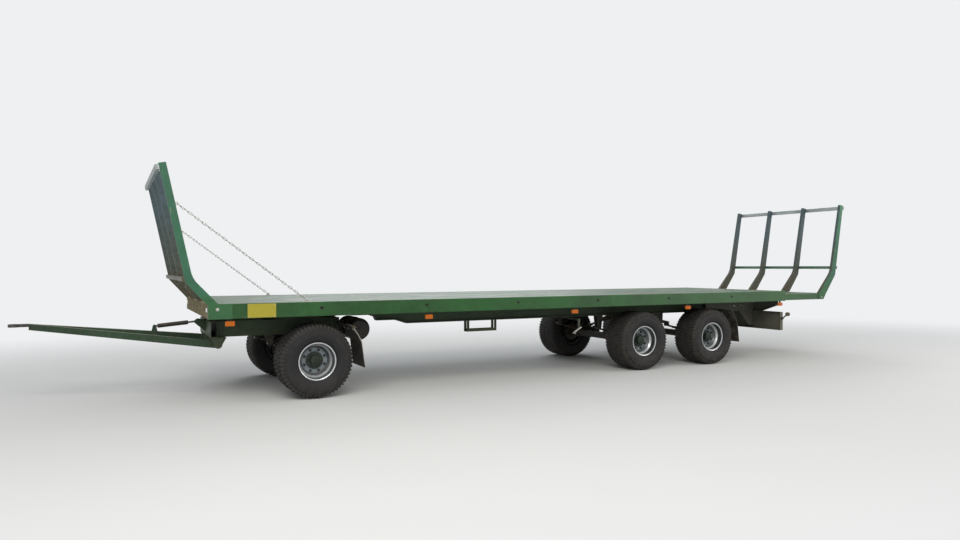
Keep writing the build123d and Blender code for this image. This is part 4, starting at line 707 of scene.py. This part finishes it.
def chain_tree():
    """Links in a row, each a quarter turn from the last about the row's own direction."""
    tree = Tree("links_in_a_row", (("Count", "Int"), ("Pitch", "Float"), ("Material", "Material")))
    given = tree.start.outputs
    step = tree.add("ShaderNodeCombineXYZ", {}, {"X": given["Pitch"]})
    line = tree.add("GeometryNodeMeshLine", {}, {"Count": given["Count"], "Offset": step})
    odd = tree.maths("MODULO", tree.add("GeometryNodeInputIndex"), 2.0)
    euler = tree.add("ShaderNodeCombineXYZ", {}, {"X": tree.maths("MULTIPLY", odd, math.pi / 2)})
    return tree.close(line, given[0], euler)


def bolt_tree():
    """A hexagon head on a washer at each point, its axis along the point's own direction."""
    tree = Tree("bolt_heads", (("Radius", "Float"), ("Height", "Float"), ("Material", "Material")))
    given = tree.start.outputs
    radius, height = given["Radius"], given["Height"]
    head = tree.add("GeometryNodeMeshCylinder", {}, {"Vertices": 6, "Radius": radius, "Depth": height})
    lift = tree.add("ShaderNodeCombineXYZ", {}, {"Z": tree.maths("MULTIPLY", height, 0.7)})
    raised = tree.add("GeometryNodeTransform", {}, {"Geometry": head, "Translation": lift})
    wide, thin = tree.maths("MULTIPLY", radius, 1.35), tree.maths("MULTIPLY", height, 0.4)
    washer = tree.add("GeometryNodeMeshCylinder", {}, {"Vertices": 16, "Radius": wide, "Depth": thin})
    both = tree.add("GeometryNodeJoinGeometry")
    for form in (raised, washer):
        tree.group.links.new(form, both.node.inputs[0])
    facing = tree.add("GeometryNodeInputNamedAttribute", {"data_type": "FLOAT_VECTOR"}, {"Name": "facing"})
    turn = tree.add("FunctionNodeAlignRotationToVector", {"axis": "Z"}, {"Vector": facing})
    return tree.close(given[0], both, turn)


around = ring_tree()
in_a_row = chain_tree()
bolt_heads = bolt_tree()


def bolts(name, spots, radius, height, material, body, slot="zinc_steel"):
    """Bolt heads at (place, direction) spots."""
    mesh = plain_mesh(name, [place for place, _ in spots])
    facing = mesh.attributes.new("facing", "FLOAT_VECTOR", "POINT")
    for item, (_, direction) in zip(facing.data, spots):
        item.vector = direction
    return bolt_heads.grow(name, mesh, {"Radius": radius, "Height": height}, material, body, slot)


# Tyres. The flank and crown are (distance from the axle, distance from the wheel's middle)
CARCASS = [(0.222, 0.190), (0.232, 0.197), (0.241, 0.203), (0.250, 0.2125), (0.262, 0.2265), (0.270, 0.2335),
           (0.278, 0.2365), (0.290, 0.2395), (0.306, 0.2445), (0.326, 0.2485), (0.346, 0.2495), (0.366, 0.2485),
           (0.384, 0.2455), (0.396, 0.2455), (0.400, 0.2405), (0.412, 0.2350), (0.424, 0.2270), (0.434, 0.2165),
           (0.4425, 0.2020), (0.4480, 0.1800), (0.4510, 0.1500), (0.4530, 0.1000), (0.4540, 0.0500)]
CROWN_R = 0.4542
BORE_R = 0.2215
BORE_HALF = 0.15
CROWN_BLOCK_R = 0.4525
TYRE_SIDES = 96
LUGS = 56


def carcass_at(u):
    """A point of the carcass and the outward direction there, by its place in the list."""
    i = min(int(u), len(CARCASS) - 2)
    (r0, a0), (r1, a1) = CARCASS[i], CARCASS[i + 1]
    t = u - i
    out = Vector((a0 - a1, r1 - r0)).normalized()
    return r0 + (r1 - r0) * t, a0 + (a1 - a0) * t, out.x, out.y


def tread_block(stations, side):
    """A block over the carcass. Each station is (place in the list, near arc, far arc, height)."""
    points, faces = [], []
    for u, near, far, height in stations:
        radius, across, out_r, out_a = carcass_at(u)
        out_r = max(out_r, 0.05)
        draft = min(height * 0.25, (far - near) * 0.25)
        for rise, first, last in ((-0.002, near, far), (height, near + draft, far - draft)):
            for s in (first, last):
                r = radius + out_r * rise
                a = s / WHEEL_R
                points.append((r * math.sin(a), side * (across + out_a * rise), r * math.cos(a)))
    for k in range(len(stations) - 1):
        a, b = 4 * k, 4 * (k + 1)
        faces += [[a + 2, a + 3, b + 3, b + 2], [a, a + 2, b + 2, b],
                  [a + 1, b + 1, b + 3, a + 3], [a, b, b + 1, a + 1]]
    last = 4 * (len(stations) - 1)
    faces += [[0, 1, 3, 2], [last, last + 2, last + 3, last + 1]]
    return points, faces


def centre_block(s0, s1, y0, y1, lean):
    """A block on the crown with slanted ends."""
    points = []
    for r, inset in ((CROWN_BLOCK_R, 0.0), (WHEEL_R, 0.0025)):
        for y, edge in ((y0, 1), (y1, -1)):
            for s, way in ((s0, 1), (s1, -1)):
                a = (s + way * inset + lean * y) / WHEEL_R
                points.append((r * math.sin(a), y + edge * inset, r * math.cos(a)))
    faces = [[0, 1, 3, 2], [4, 6, 7, 5], [0, 4, 5, 1], [2, 3, 7, 6], [0, 2, 6, 4], [1, 5, 7, 3]]
    return points, faces


def tyre_meshes():
    """The carcass and one pitch of its tread, both about the origin with the axle along y."""
    profile = [(r, -a) for r, a in CARCASS] + [(CROWN_R, 0)] + [(r, a) for r, a in reversed(CARCASS)]
    body = Shape()
    body.join(*turned([*profile, (BORE_R, BORE_HALF), (BORE_R, -BORE_HALF), profile[0]], TYRE_SIDES),
              toward((0, 1, 0)))
    pitch = 2 * math.pi * WHEEL_R / LUGS
    tread = Shape()
    wide = pitch * 0.52
    for side in (-1, 1):
        shift = 0 if side > 0 else pitch / 2
        shoulder = [(12.1, shift + 0.1 * wide, shift + 0.8 * wide, 0.0055),
                    (14.4, shift, shift + 0.9 * wide, 0.0100),
                    (17.0, shift, shift + wide, 0.0135), (18.0, shift, shift + wide, 0.0142),
                    (19.0, shift - 0.004, shift + wide - 0.004, 0.0160),
                    (20.3, shift - 0.009, shift + wide - 0.009, 0.0146)]
        tread.join(*tread_block(shoulder, side))
        inner = [(20.55, shift + 0.45 * pitch, shift + 1.05 * pitch, 0.0143),
                 (21.0, shift + 0.42 * pitch, shift + 1.08 * pitch, 0.0128),
                 (21.45, shift + 0.40 * pitch, shift + 1.05 * pitch, 0.0126)]
        tread.join(*tread_block(inner, side))
        y0 = 0.006 if side > 0 else -0.072
        tread.join(*centre_block(shift, shift + 0.66 * pitch, y0, y0 + 0.066, side * 0.3))
    return (body.points, body.faces), (tread.points, tread.faces)


carcass, tread = tyre_meshes()
for number, side_name, side, axle_x in WHEELS:
    body = f"wheel_{number}_{side_name}"
    here = Matrix.Translation((axle_x, side * WHEEL_Y, WHEEL_R))
    casing = single(f"tyre_{number}_{side_name}_casing", carcass, here, tyre_rubber[number - 1], body, 28)
    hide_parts(f"tyre_{number}_{side_name}")
    blocks = around.grow(f"tyre_{number}_{side_name}_tread", plain_mesh("tread_pitch", *tread),
                         {"Count": LUGS}, tyre_rubber[number - 1], body, "tyre")
    blocks.data.transform(here)

# Wheel nuts on the discs, bolts on the hubs and the faces of the hub caps
NUT_CIRCLE = 0.1375
NUT_SEAT = 0.05
NUTS = 8
HUB_CIRCLE = 0.085
HUB_SEAT = 0.062
HUB_BOLTS = 6
CAP_PROFILE = [(0.0, 0.0), (0.056, 0.0), (0.060, -0.002), (0.066, -0.003), (0.066, -0.011), (0.0, -0.011)]
CAP_FACE = 0.124


def axle_ring(axle_x, side, radius, out, turns):
    """Spots in a circle round an axle, out from the wheel's middle and facing outwards."""
    return [((axle_x + radius * math.cos(a), side * (WHEEL_Y + out), WHEEL_R + radius * math.sin(a)), (0, side, 0))
            for a in turns]


for number, side_name, side, axle_x in WHEELS:
    body = f"wheel_{number}_{side_name}"
    bolts(f"wheel_nuts_{number}_{side_name}", axle_ring(axle_x, side, NUT_CIRCLE, NUT_SEAT, angles(NUTS, 0.5)),
          0.0125, 0.020, dark_bolt, body, "forged_steel")
    bolts(f"hub_bolts_{number}_{side_name}", axle_ring(axle_x, side, HUB_CIRCLE, HUB_SEAT, angles(HUB_BOLTS)),
          0.008, 0.007, dark_bolt, body, "forged_steel")
    here = Matrix.Translation((axle_x, side * (WHEEL_Y + CAP_FACE), WHEEL_R)) @ toward((0, side, 0))
    single(f"hub_cap_{number}_{side_name}", turned(CAP_PROFILE, 40), here, hub_green, body, 30)


# Chains, from a lug on the front post to one on the rail
CHAIN_LINKS = 39
CHAIN_TOP = (-0.3281 - MIDDLE, 2.372)
CHAIN_FOOT = (1.160 - MIDDLE, 1.234)
CHAIN_WIRE = 0.008
CHAIN_WIDTH = 0.028
CHAIN_HOLE = 0.007
CHAIN_PLAY = 0.0002


def chain_link(inner):
    """One welded link, lying in the x-y plane with its middle at the origin."""
    bend = (CHAIN_WIDTH - CHAIN_WIRE) / 2
    straight = inner / 2 + CHAIN_WIRE / 2 - bend
    path = []
    for end in (1, -1):
        for i in range(6):
            a = math.radians(-90 + 36 * i)
            path.append((end * (straight + bend * math.cos(a)), end * bend * math.sin(a), 0))
    return swept(path, CHAIN_WIRE / 2, 6, True)


run = math.hypot(CHAIN_FOOT[0] - CHAIN_TOP[0], CHAIN_TOP[1] - CHAIN_FOOT[1])
seat = math.sqrt(CHAIN_HOLE ** 2 - CHAIN_WIRE ** 2 / 4) - CHAIN_WIRE / 2 - CHAIN_PLAY / 2
link_inner = (run - 2 * seat - CHAIN_WIRE + (CHAIN_LINKS - 1) * CHAIN_PLAY) / CHAIN_LINKS
drop = math.atan2(CHAIN_TOP[1] - CHAIN_FOOT[1], CHAIN_FOOT[0] - CHAIN_TOP[0])
for side_name, side in SIDES:
    chain = in_a_row.grow(f"chain_{side_name}", plain_mesh("chain_link", *chain_link(link_inner)),
                          {"Count": CHAIN_LINKS, "Pitch": link_inner - CHAIN_PLAY},
                          chain_steel, "chassis", "chain_steel", 60)
    first = Matrix.Translation((seat + (link_inner + CHAIN_WIRE) / 2, 0, 0))
    top = Matrix.Translation((CHAIN_TOP[0], side * POST_Y, CHAIN_TOP[1]))
    chain.data.transform(top @ Matrix.Rotation(drop, 4, "Y") @ first)
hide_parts("brace_chains")


# Bolts on the ladders' foot plates and the turntable
EXT_END = 10.86 - MIDDLE
EXT_Y = 1.229
FOOT_PLATE = 0.010
for side_name, side in SIDES:
    spot = ((0.102 - MIDDLE, side * (RAIL_Y + FOOT_PLATE), 1.150), (0, side, 0))
    bolts(f"front_foot_bolt_{side_name}", [spot], 0.015, 0.012, bolt_zinc, "chassis")
    spot = ((EXT_END - 0.060, side * (EXT_Y + FOOT_PLATE), 1.085), (0, side, 0))
    bolts(f"rear_foot_bolt_{side_name}", [spot], 0.013, 0.010, bolt_zinc, "rear_frame")

RING_BOLTS = 20
RING_CIRCLE = 0.45
RING_UPPER_Z = 1.033
RING_LOWER_Z = 0.9587
RING_LOWER_HALF = 0.33
ring_spots = [((AXLE_XS[0] + RING_CIRCLE * math.cos(a), RING_CIRCLE * math.sin(a), RING_UPPER_Z), (0, 0, -1))
              for a in angles(RING_BOLTS, 0.5)]
bolts("ring_bolts_upper", ring_spots, 0.012, 0.010, dark_bolt, "chassis", "forged_steel")
lower_spots = [((x, y, RING_LOWER_Z), (0, 0, -1)) for (x, y, _), _ in ring_spots if abs(y) < RING_LOWER_HALF]
bolts("ring_bolts_lower", lower_spots, 0.010, 0.008, dark_bolt, "dolly", "forged_steel")


# The frame's tail: deep cheeks on the main beams, and outriggers that rise from them to the rails
TAIL_PLATE = 0.006
TAIL_LOW = 0.838
RAIL_UNDERSIDE = 1.0348
CHEEK_Y = 0.6253
CHEEK_START = 8.46 - MIDDLE
CHEEK_END = 9.696 - MIDDLE
CHEEK_TOP = 1.0300
CHEEK_SLANT = 0.06
CHEEK = [(CHEEK_START, 0.8530), (CHEEK_START + CHEEK_SLANT, TAIL_LOW), (CHEEK_END, TAIL_LOW),
         (CHEEK_END, CHEEK_TOP), (CHEEK_START, CHEEK_TOP)]
FLANGE_WIDE = 0.040
FLANGE_IN = 0.0165
FLANGE_SHORTER = 0.07
OUTRIGGER = [(0.6320, TAIL_LOW), (0.840, TAIL_LOW), (1.150, 0.946), (1.178, 0.985), (1.178, RAIL_UNDERSIDE),
             (0.6320, RAIL_UNDERSIDE)]
HEM = OUTRIGGER[:4] + [(y, z + TAIL_PLATE) for y, z in reversed(OUTRIGGER[:4])]
HEM_DEPTH = 0.045
TAIL_BOLT_XS = (9.18 - MIDDLE, 9.343 - MIDDLE, 9.416 - MIDDLE)
TAIL_BOLT_Z = 0.936
for side_name, side in SIDES:
    tail = Shape()
    tail.join(*prism([[(x, side * (CHEEK_Y + y), z) for x, z in CHEEK] for y in (0.0, TAIL_PLATE)]))
    tail.join(*slab(CHEEK_END - CHEEK_START - FLANGE_SHORTER, FLANGE_WIDE, TAIL_PLATE, 0.001), Matrix.Translation((
        (CHEEK_START + CHEEK_END + CHEEK_SLANT) / 2, side * (CHEEK_Y - FLANGE_IN), TAIL_LOW + TAIL_PLATE / 2)))
    for outline, near, far in ((OUTRIGGER, 0.0, TAIL_PLATE), (HEM, TAIL_PLATE, HEM_DEPTH)):
        tail.join(*prism([[(CHEEK_END - x, side * y, z) for y, z in outline] for x in (near, far)]))
    # The tail plates take the lighter tail paint, not the frame's: painted light against the shade under the deck
    tail.make(f"tail_plates_{side_name}", tail_green, "chassis")
    face = side * (CHEEK_Y + TAIL_PLATE + 0.001)
    bolts(f"tail_bolts_{side_name}", [((x, face, TAIL_BOLT_Z), (0, side, 0)) for x in TAIL_BOLT_XS],
          0.012, 0.010, bolt_zinc, "chassis")


# Dark oval rings round the lashing holes of the side rails: painted shade, widening the dark of the holes
SHADED_HOLE_FIRST = 1.334 - MIDDLE
SHADED_HOLE_PITCH = 1.425
SHADED_HOLE_Z = 1.140
SHADED_HOLES = 6
HOLE_SHADE_SIDES = 32
HOLE_SHADE_HALF = (0.026, 0.018)
HOLE_SHADE_BORE = 0.0128
HOLE_SHADE_STEPS = ((RAIL_Y - 0.0003, 0.0), (RAIL_Y + 0.0018, 0.0), (RAIL_Y + 0.0024, -0.0015))
for side_name, side in SIDES:
    hole_shades = Shape()
    for i in range(SHADED_HOLES):
        points, faces = [], []
        for y, grow in HOLE_SHADE_STEPS:
            for half_long, half_high, way in ((*HOLE_SHADE_HALF, 1), (HOLE_SHADE_BORE, HOLE_SHADE_BORE, -0.5)):
                points += [(SHADED_HOLE_FIRST + i * SHADED_HOLE_PITCH + (half_long + way * grow) * math.cos(a), side * y,
                            SHADED_HOLE_Z + (half_high + way * grow) * math.sin(a)) for a in angles(HOLE_SHADE_SIDES)]
        rings = [[r * HOLE_SHADE_SIDES + k for k in range(HOLE_SHADE_SIDES)] for r in (0, 2, 4, 5, 3, 1)]
        for near, far in zip(rings, rings[1:] + rings[:1]):
            for k in range(HOLE_SHADE_SIDES):
                m = (k + 1) % HOLE_SHADE_SIDES
                faces.append([near[k], near[m], far[m], far[k]])
        hole_shades.join(points, faces)
    hole_shades.make(f"rail_hole_shades_{side_name}", satin_black, "chassis", 40)


# Nuts on the spring clamps and bolts on the brake chambers' rings
CLAMP_TOP = 0.606
CLAMP_LEGS = [(dx, dy) for dx in (-0.059, 0.059) for dy in (-0.0475, 0.0475)]
CHAMBER_IN = 0.17
CHAMBER_FACE = 0.223
CHAMBER_Z = 0.505
CHAMBER_CIRCLE = 0.081
for number, (axle_x, spring_y, body) in enumerate(zip(AXLE_XS, SPRING_YS, AXLE_BODIES), start=1):
    nuts, clips = [], []
    for _, side in SIDES:
        nuts += [((axle_x + dx, side * spring_y + dy, CLAMP_TOP), (0, 0, 1)) for dx, dy in CLAMP_LEGS]
        chamber_y = side * (spring_y - CHAMBER_IN)
        clips += [((axle_x + CHAMBER_FACE, chamber_y + CHAMBER_CIRCLE * math.cos(a),
                    CHAMBER_Z + CHAMBER_CIRCLE * math.sin(a)), (-1, 0, 0)) for a in angles(8, 0.5)]
    bolts(f"clamp_nuts_{number}", nuts, 0.014, 0.014, dark_bolt, body, "forged_steel")
    bolts(f"chamber_bolts_{number}", clips, 0.006, 0.006, bolt_zinc, body)


# Mudguards: rolled edges, a pale painted highlight on the outer rim of the front ones, and fixing bolts
GUARD_R = 0.604
GUARD_ARC = (47.5, 22, 12)
GUARD_EDGES = (0.763, 1.232)
FLAP_LOW = 0.36
BEAD_R = 0.006
GUARD_BOLT_R = 0.600
GUARD_BOLT_ANGLE = math.radians(40)
GUARD_BOLT_YS = (0.82, 1.0, 1.17)
for prefix, axle_x, body in (("front", AXLE_XS[0], "dolly"), ("rear", AXLE_XS[2], "chassis")):
    for side_name, side in SIDES:
        inner, outer = [arc((axle_x, side * y, WHEEL_R), GUARD_R, *GUARD_ARC) for y in GUARD_EDGES]
        inner_foot, outer_foot = [(axle_x + GUARD_R, side * y, FLAP_LOW) for y in GUARD_EDGES]
        hem = Shape()
        for path in ([*inner, inner_foot], [outer[-1], outer_foot], outer[:4]):
            hem.join(*swept(path, BEAD_R, 8))
        hem.make(f"{prefix}_guard_hem_{side_name}", guard_plastic, body, 60)
        # Front lips take the pale plastic, a painted highlight; rear lips stay plain
        edge = guard_highlight if prefix == "front" else guard_plastic
        single(f"{prefix}_guard_lip_{side_name}", swept(outer[3:], BEAD_R, 8), Matrix(), edge, body,
               60)
        across, up = math.cos(GUARD_BOLT_ANGLE), math.sin(GUARD_BOLT_ANGLE)
        spots = [((axle_x + GUARD_BOLT_R * across, side * y, WHEEL_R + GUARD_BOLT_R * up), (-across, 0, -up))
                 for y in GUARD_BOLT_YS]
        bolts(f"{prefix}_guard_bolts_{side_name}", spots, 0.010, 0.007, bolt_zinc, body)


# Ports on the outer end of the air tank, and a hose from one of them to the turning frame
TANK_END = (1.988 - MIDDLE, -0.745, 0.805)
HOSE_R = 0.007
PORTS = ((-0.052, 0.012), (0.0, 0.012), (0.0, -0.045))
HOSE_RUN = ((0.0, -0.010, 0.0), (-0.002, -0.028, -0.004), (-0.012, -0.034, -0.022), (-0.034, -0.026, -0.058),
            (-0.060, -0.004, -0.082), (-0.090, 0.040, -0.090), (-0.130, 0.110, -0.080), (-0.170, 0.200, -0.060))
ports = [((TANK_END[0] + dx, TANK_END[1] + 0.003, TANK_END[2] + dz), (0, -1, 0)) for dx, dz in PORTS]
bolts("tank_ports", ports, 0.011, 0.014, dark_bolt, "dolly", "forged_steel")
x, y, z = ports[0][0]
hose = swept([(x + dx, y + dy, z + dz) for dx, dy, dz in HOSE_RUN], HOSE_R, 10)
single("tank_hose", hose, Matrix(), lamp_black, "dolly", 60)


# Lamps, reflectors, and the bolts of the light beam and rivets of the plate
LIGHT_FACE = 9.72 + 0.07 + 0.038 - MIDDLE
LAMP_Y = 1.04
LAMP_Z = 0.67
LAMP_PITCH = 0.078
LAMP_GLASS = (0.012, 0.072, 0.098, 0.005)
REFLECTOR = (0.008, 0.090, 0.050, 0.003)
STALK_X = 9.9 - MIDDLE
STALK_Y = 1.215
STALK_Z = 0.79
DOME_PROFILE = [(0.0, 0.014), (0.012, 0.0125), (0.022, 0.008), (0.029, 0.0), (0.029, -0.004), (0.0, -0.004)]
PLATE_X = 0.455 - MIDDLE
PLATE_FACE = -1.242
for side_name, side in SIDES:
    for label, way, material in (("amber", 1, amber_lens), ("red", 0, red_lens), ("clear", -1, clear_lens)):
        y = side * LAMP_Y + way * side * LAMP_PITCH
        here = Matrix.Translation((LIGHT_FACE + 0.003, y, LAMP_Z))
        slot = "amber_lens" if label == "amber" else "lamp_plastic"
        single(f"lamp_{label}_{side_name}", slab(*LAMP_GLASS), here, material, "chassis")
    for label, way, material in (("rear", 1, red_lens), ("front", -1, dim_lens)):
        here = Matrix.Translation((STALK_X + way * 0.023, side * STALK_Y, STALK_Z)) @ toward((way, 0, 0))
        single(f"stalk_lens_{label}_{side_name}", turned(DOME_PROFILE, 28), here, material, "chassis",
               50)
    single(f"front_reflector_{side_name}", slab(*REFLECTOR), Matrix.Translation((-0.003 - MIDDLE, side * 1.13, 1.14)),
           clear_lens, "chassis")

spots = [((LIGHT_FACE - 0.036, y, z), (1, 0, 0)) for y in (-0.62, -0.53, 0.53, 0.62) for z in (0.58, 0.78)]
bolts("light_beam_bolts", spots, 0.010, 0.008, bolt_zinc, "chassis")
rivets = [((PLATE_X + dx, PLATE_FACE, z), (0, -1, 0)) for dx in (0, 0.304) for z in (1.056, 1.194)]
bolts("plate_rivets", rivets, 0.004, 0.002, bolt_zinc, "chassis")


# Floor, light and camera
FLOOR_HALF = 120.0
BACKDROP = (0.86, 0.87, 0.88)


def studio_floor():
    """Pale matt floor that runs into the backdrop far from the trailer."""
    p = Paint("studio_floor")
    place = p.place()
    far = p.step(((place.part("X") / 1.6) ** 2 + place.part("Y") ** 2) ** 0.5, 3.5, 11.0)
    matt = p.add("ShaderNodeBsdfDiffuse", {}, {"Color": p.mix(p.noise(0.7, 3.0), rgb("e2e2e0"), rgb("dededc"))})
    plain = p.add("ShaderNodeEmission", {}, {"Color": BACKDROP, "Strength": 1.0})
    return p.close(p.add("ShaderNodeMixShader", {}, {0: far * p.seen(), 1: matt, 2: plain}))


corners = [(x * FLOOR_HALF, y * FLOOR_HALF, 0) for x, y in ((-1, -1), (1, -1), (1, 1), (-1, 1))]
floor_mesh = plain_mesh("floor", corners, [(0, 1, 2, 3)])
floor_mesh.materials.append(studio_floor())
floor = linked("floor", floor_mesh)

sky = Paint("studio", world=True)
lit = sky.add("ShaderNodeBackground", {}, {"Color": (0.93, 0.96, 1.0), "Strength": 0.5})
shown = sky.add("ShaderNodeBackground", {}, {"Color": BACKDROP, "Strength": 1.0})
bpy.context.scene.world = sky.close(sky.add("ShaderNodeMixShader", {}, {0: sky.seen(), 1: lit, 2: shown}),
                                    "ShaderNodeOutputWorld")


def lamp(name, place, aim, size, power, colour):
    data = bpy.data.lights.new(name, "AREA")
    data.shape = "RECTANGLE"
    data.size, data.size_y = size
    data.energy = power
    data.color = colour
    obj = linked(name, data)
    obj.location = place
    obj.rotation_euler = (Vector(aim) - Vector(place)).to_track_quat("-Z", "Y").to_euler()


lamp("key", (-6.0, -9.0, 8.0), (0.0, 0.0, 1.0), (9.0, 5.0), 720.0, (1.0, 0.97, 0.92))
lamp("fill", (9.0, -7.0, 5.0), (2.0, 0.0, 1.0), (7.0, 4.0), 280.0, (1.0, 0.96, 0.9))
lamp("back", (3.0, 10.0, 7.0), (0.0, 0.0, 1.2), (10.0, 4.0), 400.0, (0.95, 0.97, 1.0))

camera_data = bpy.data.cameras.new("camera")
camera_data.lens = 26.42
camera_data.sensor_width = 36.0
camera_data.clip_end = 500.0
camera = linked("camera", camera_data)
camera.location = (-5.71581, -9.932, 1.645)
camera.rotation_euler = (math.radians(89.77), 0, math.radians(-27.815))
bpy.context.scene.camera = camera

bpy.context.scene.view_settings.view_transform = "Standard"
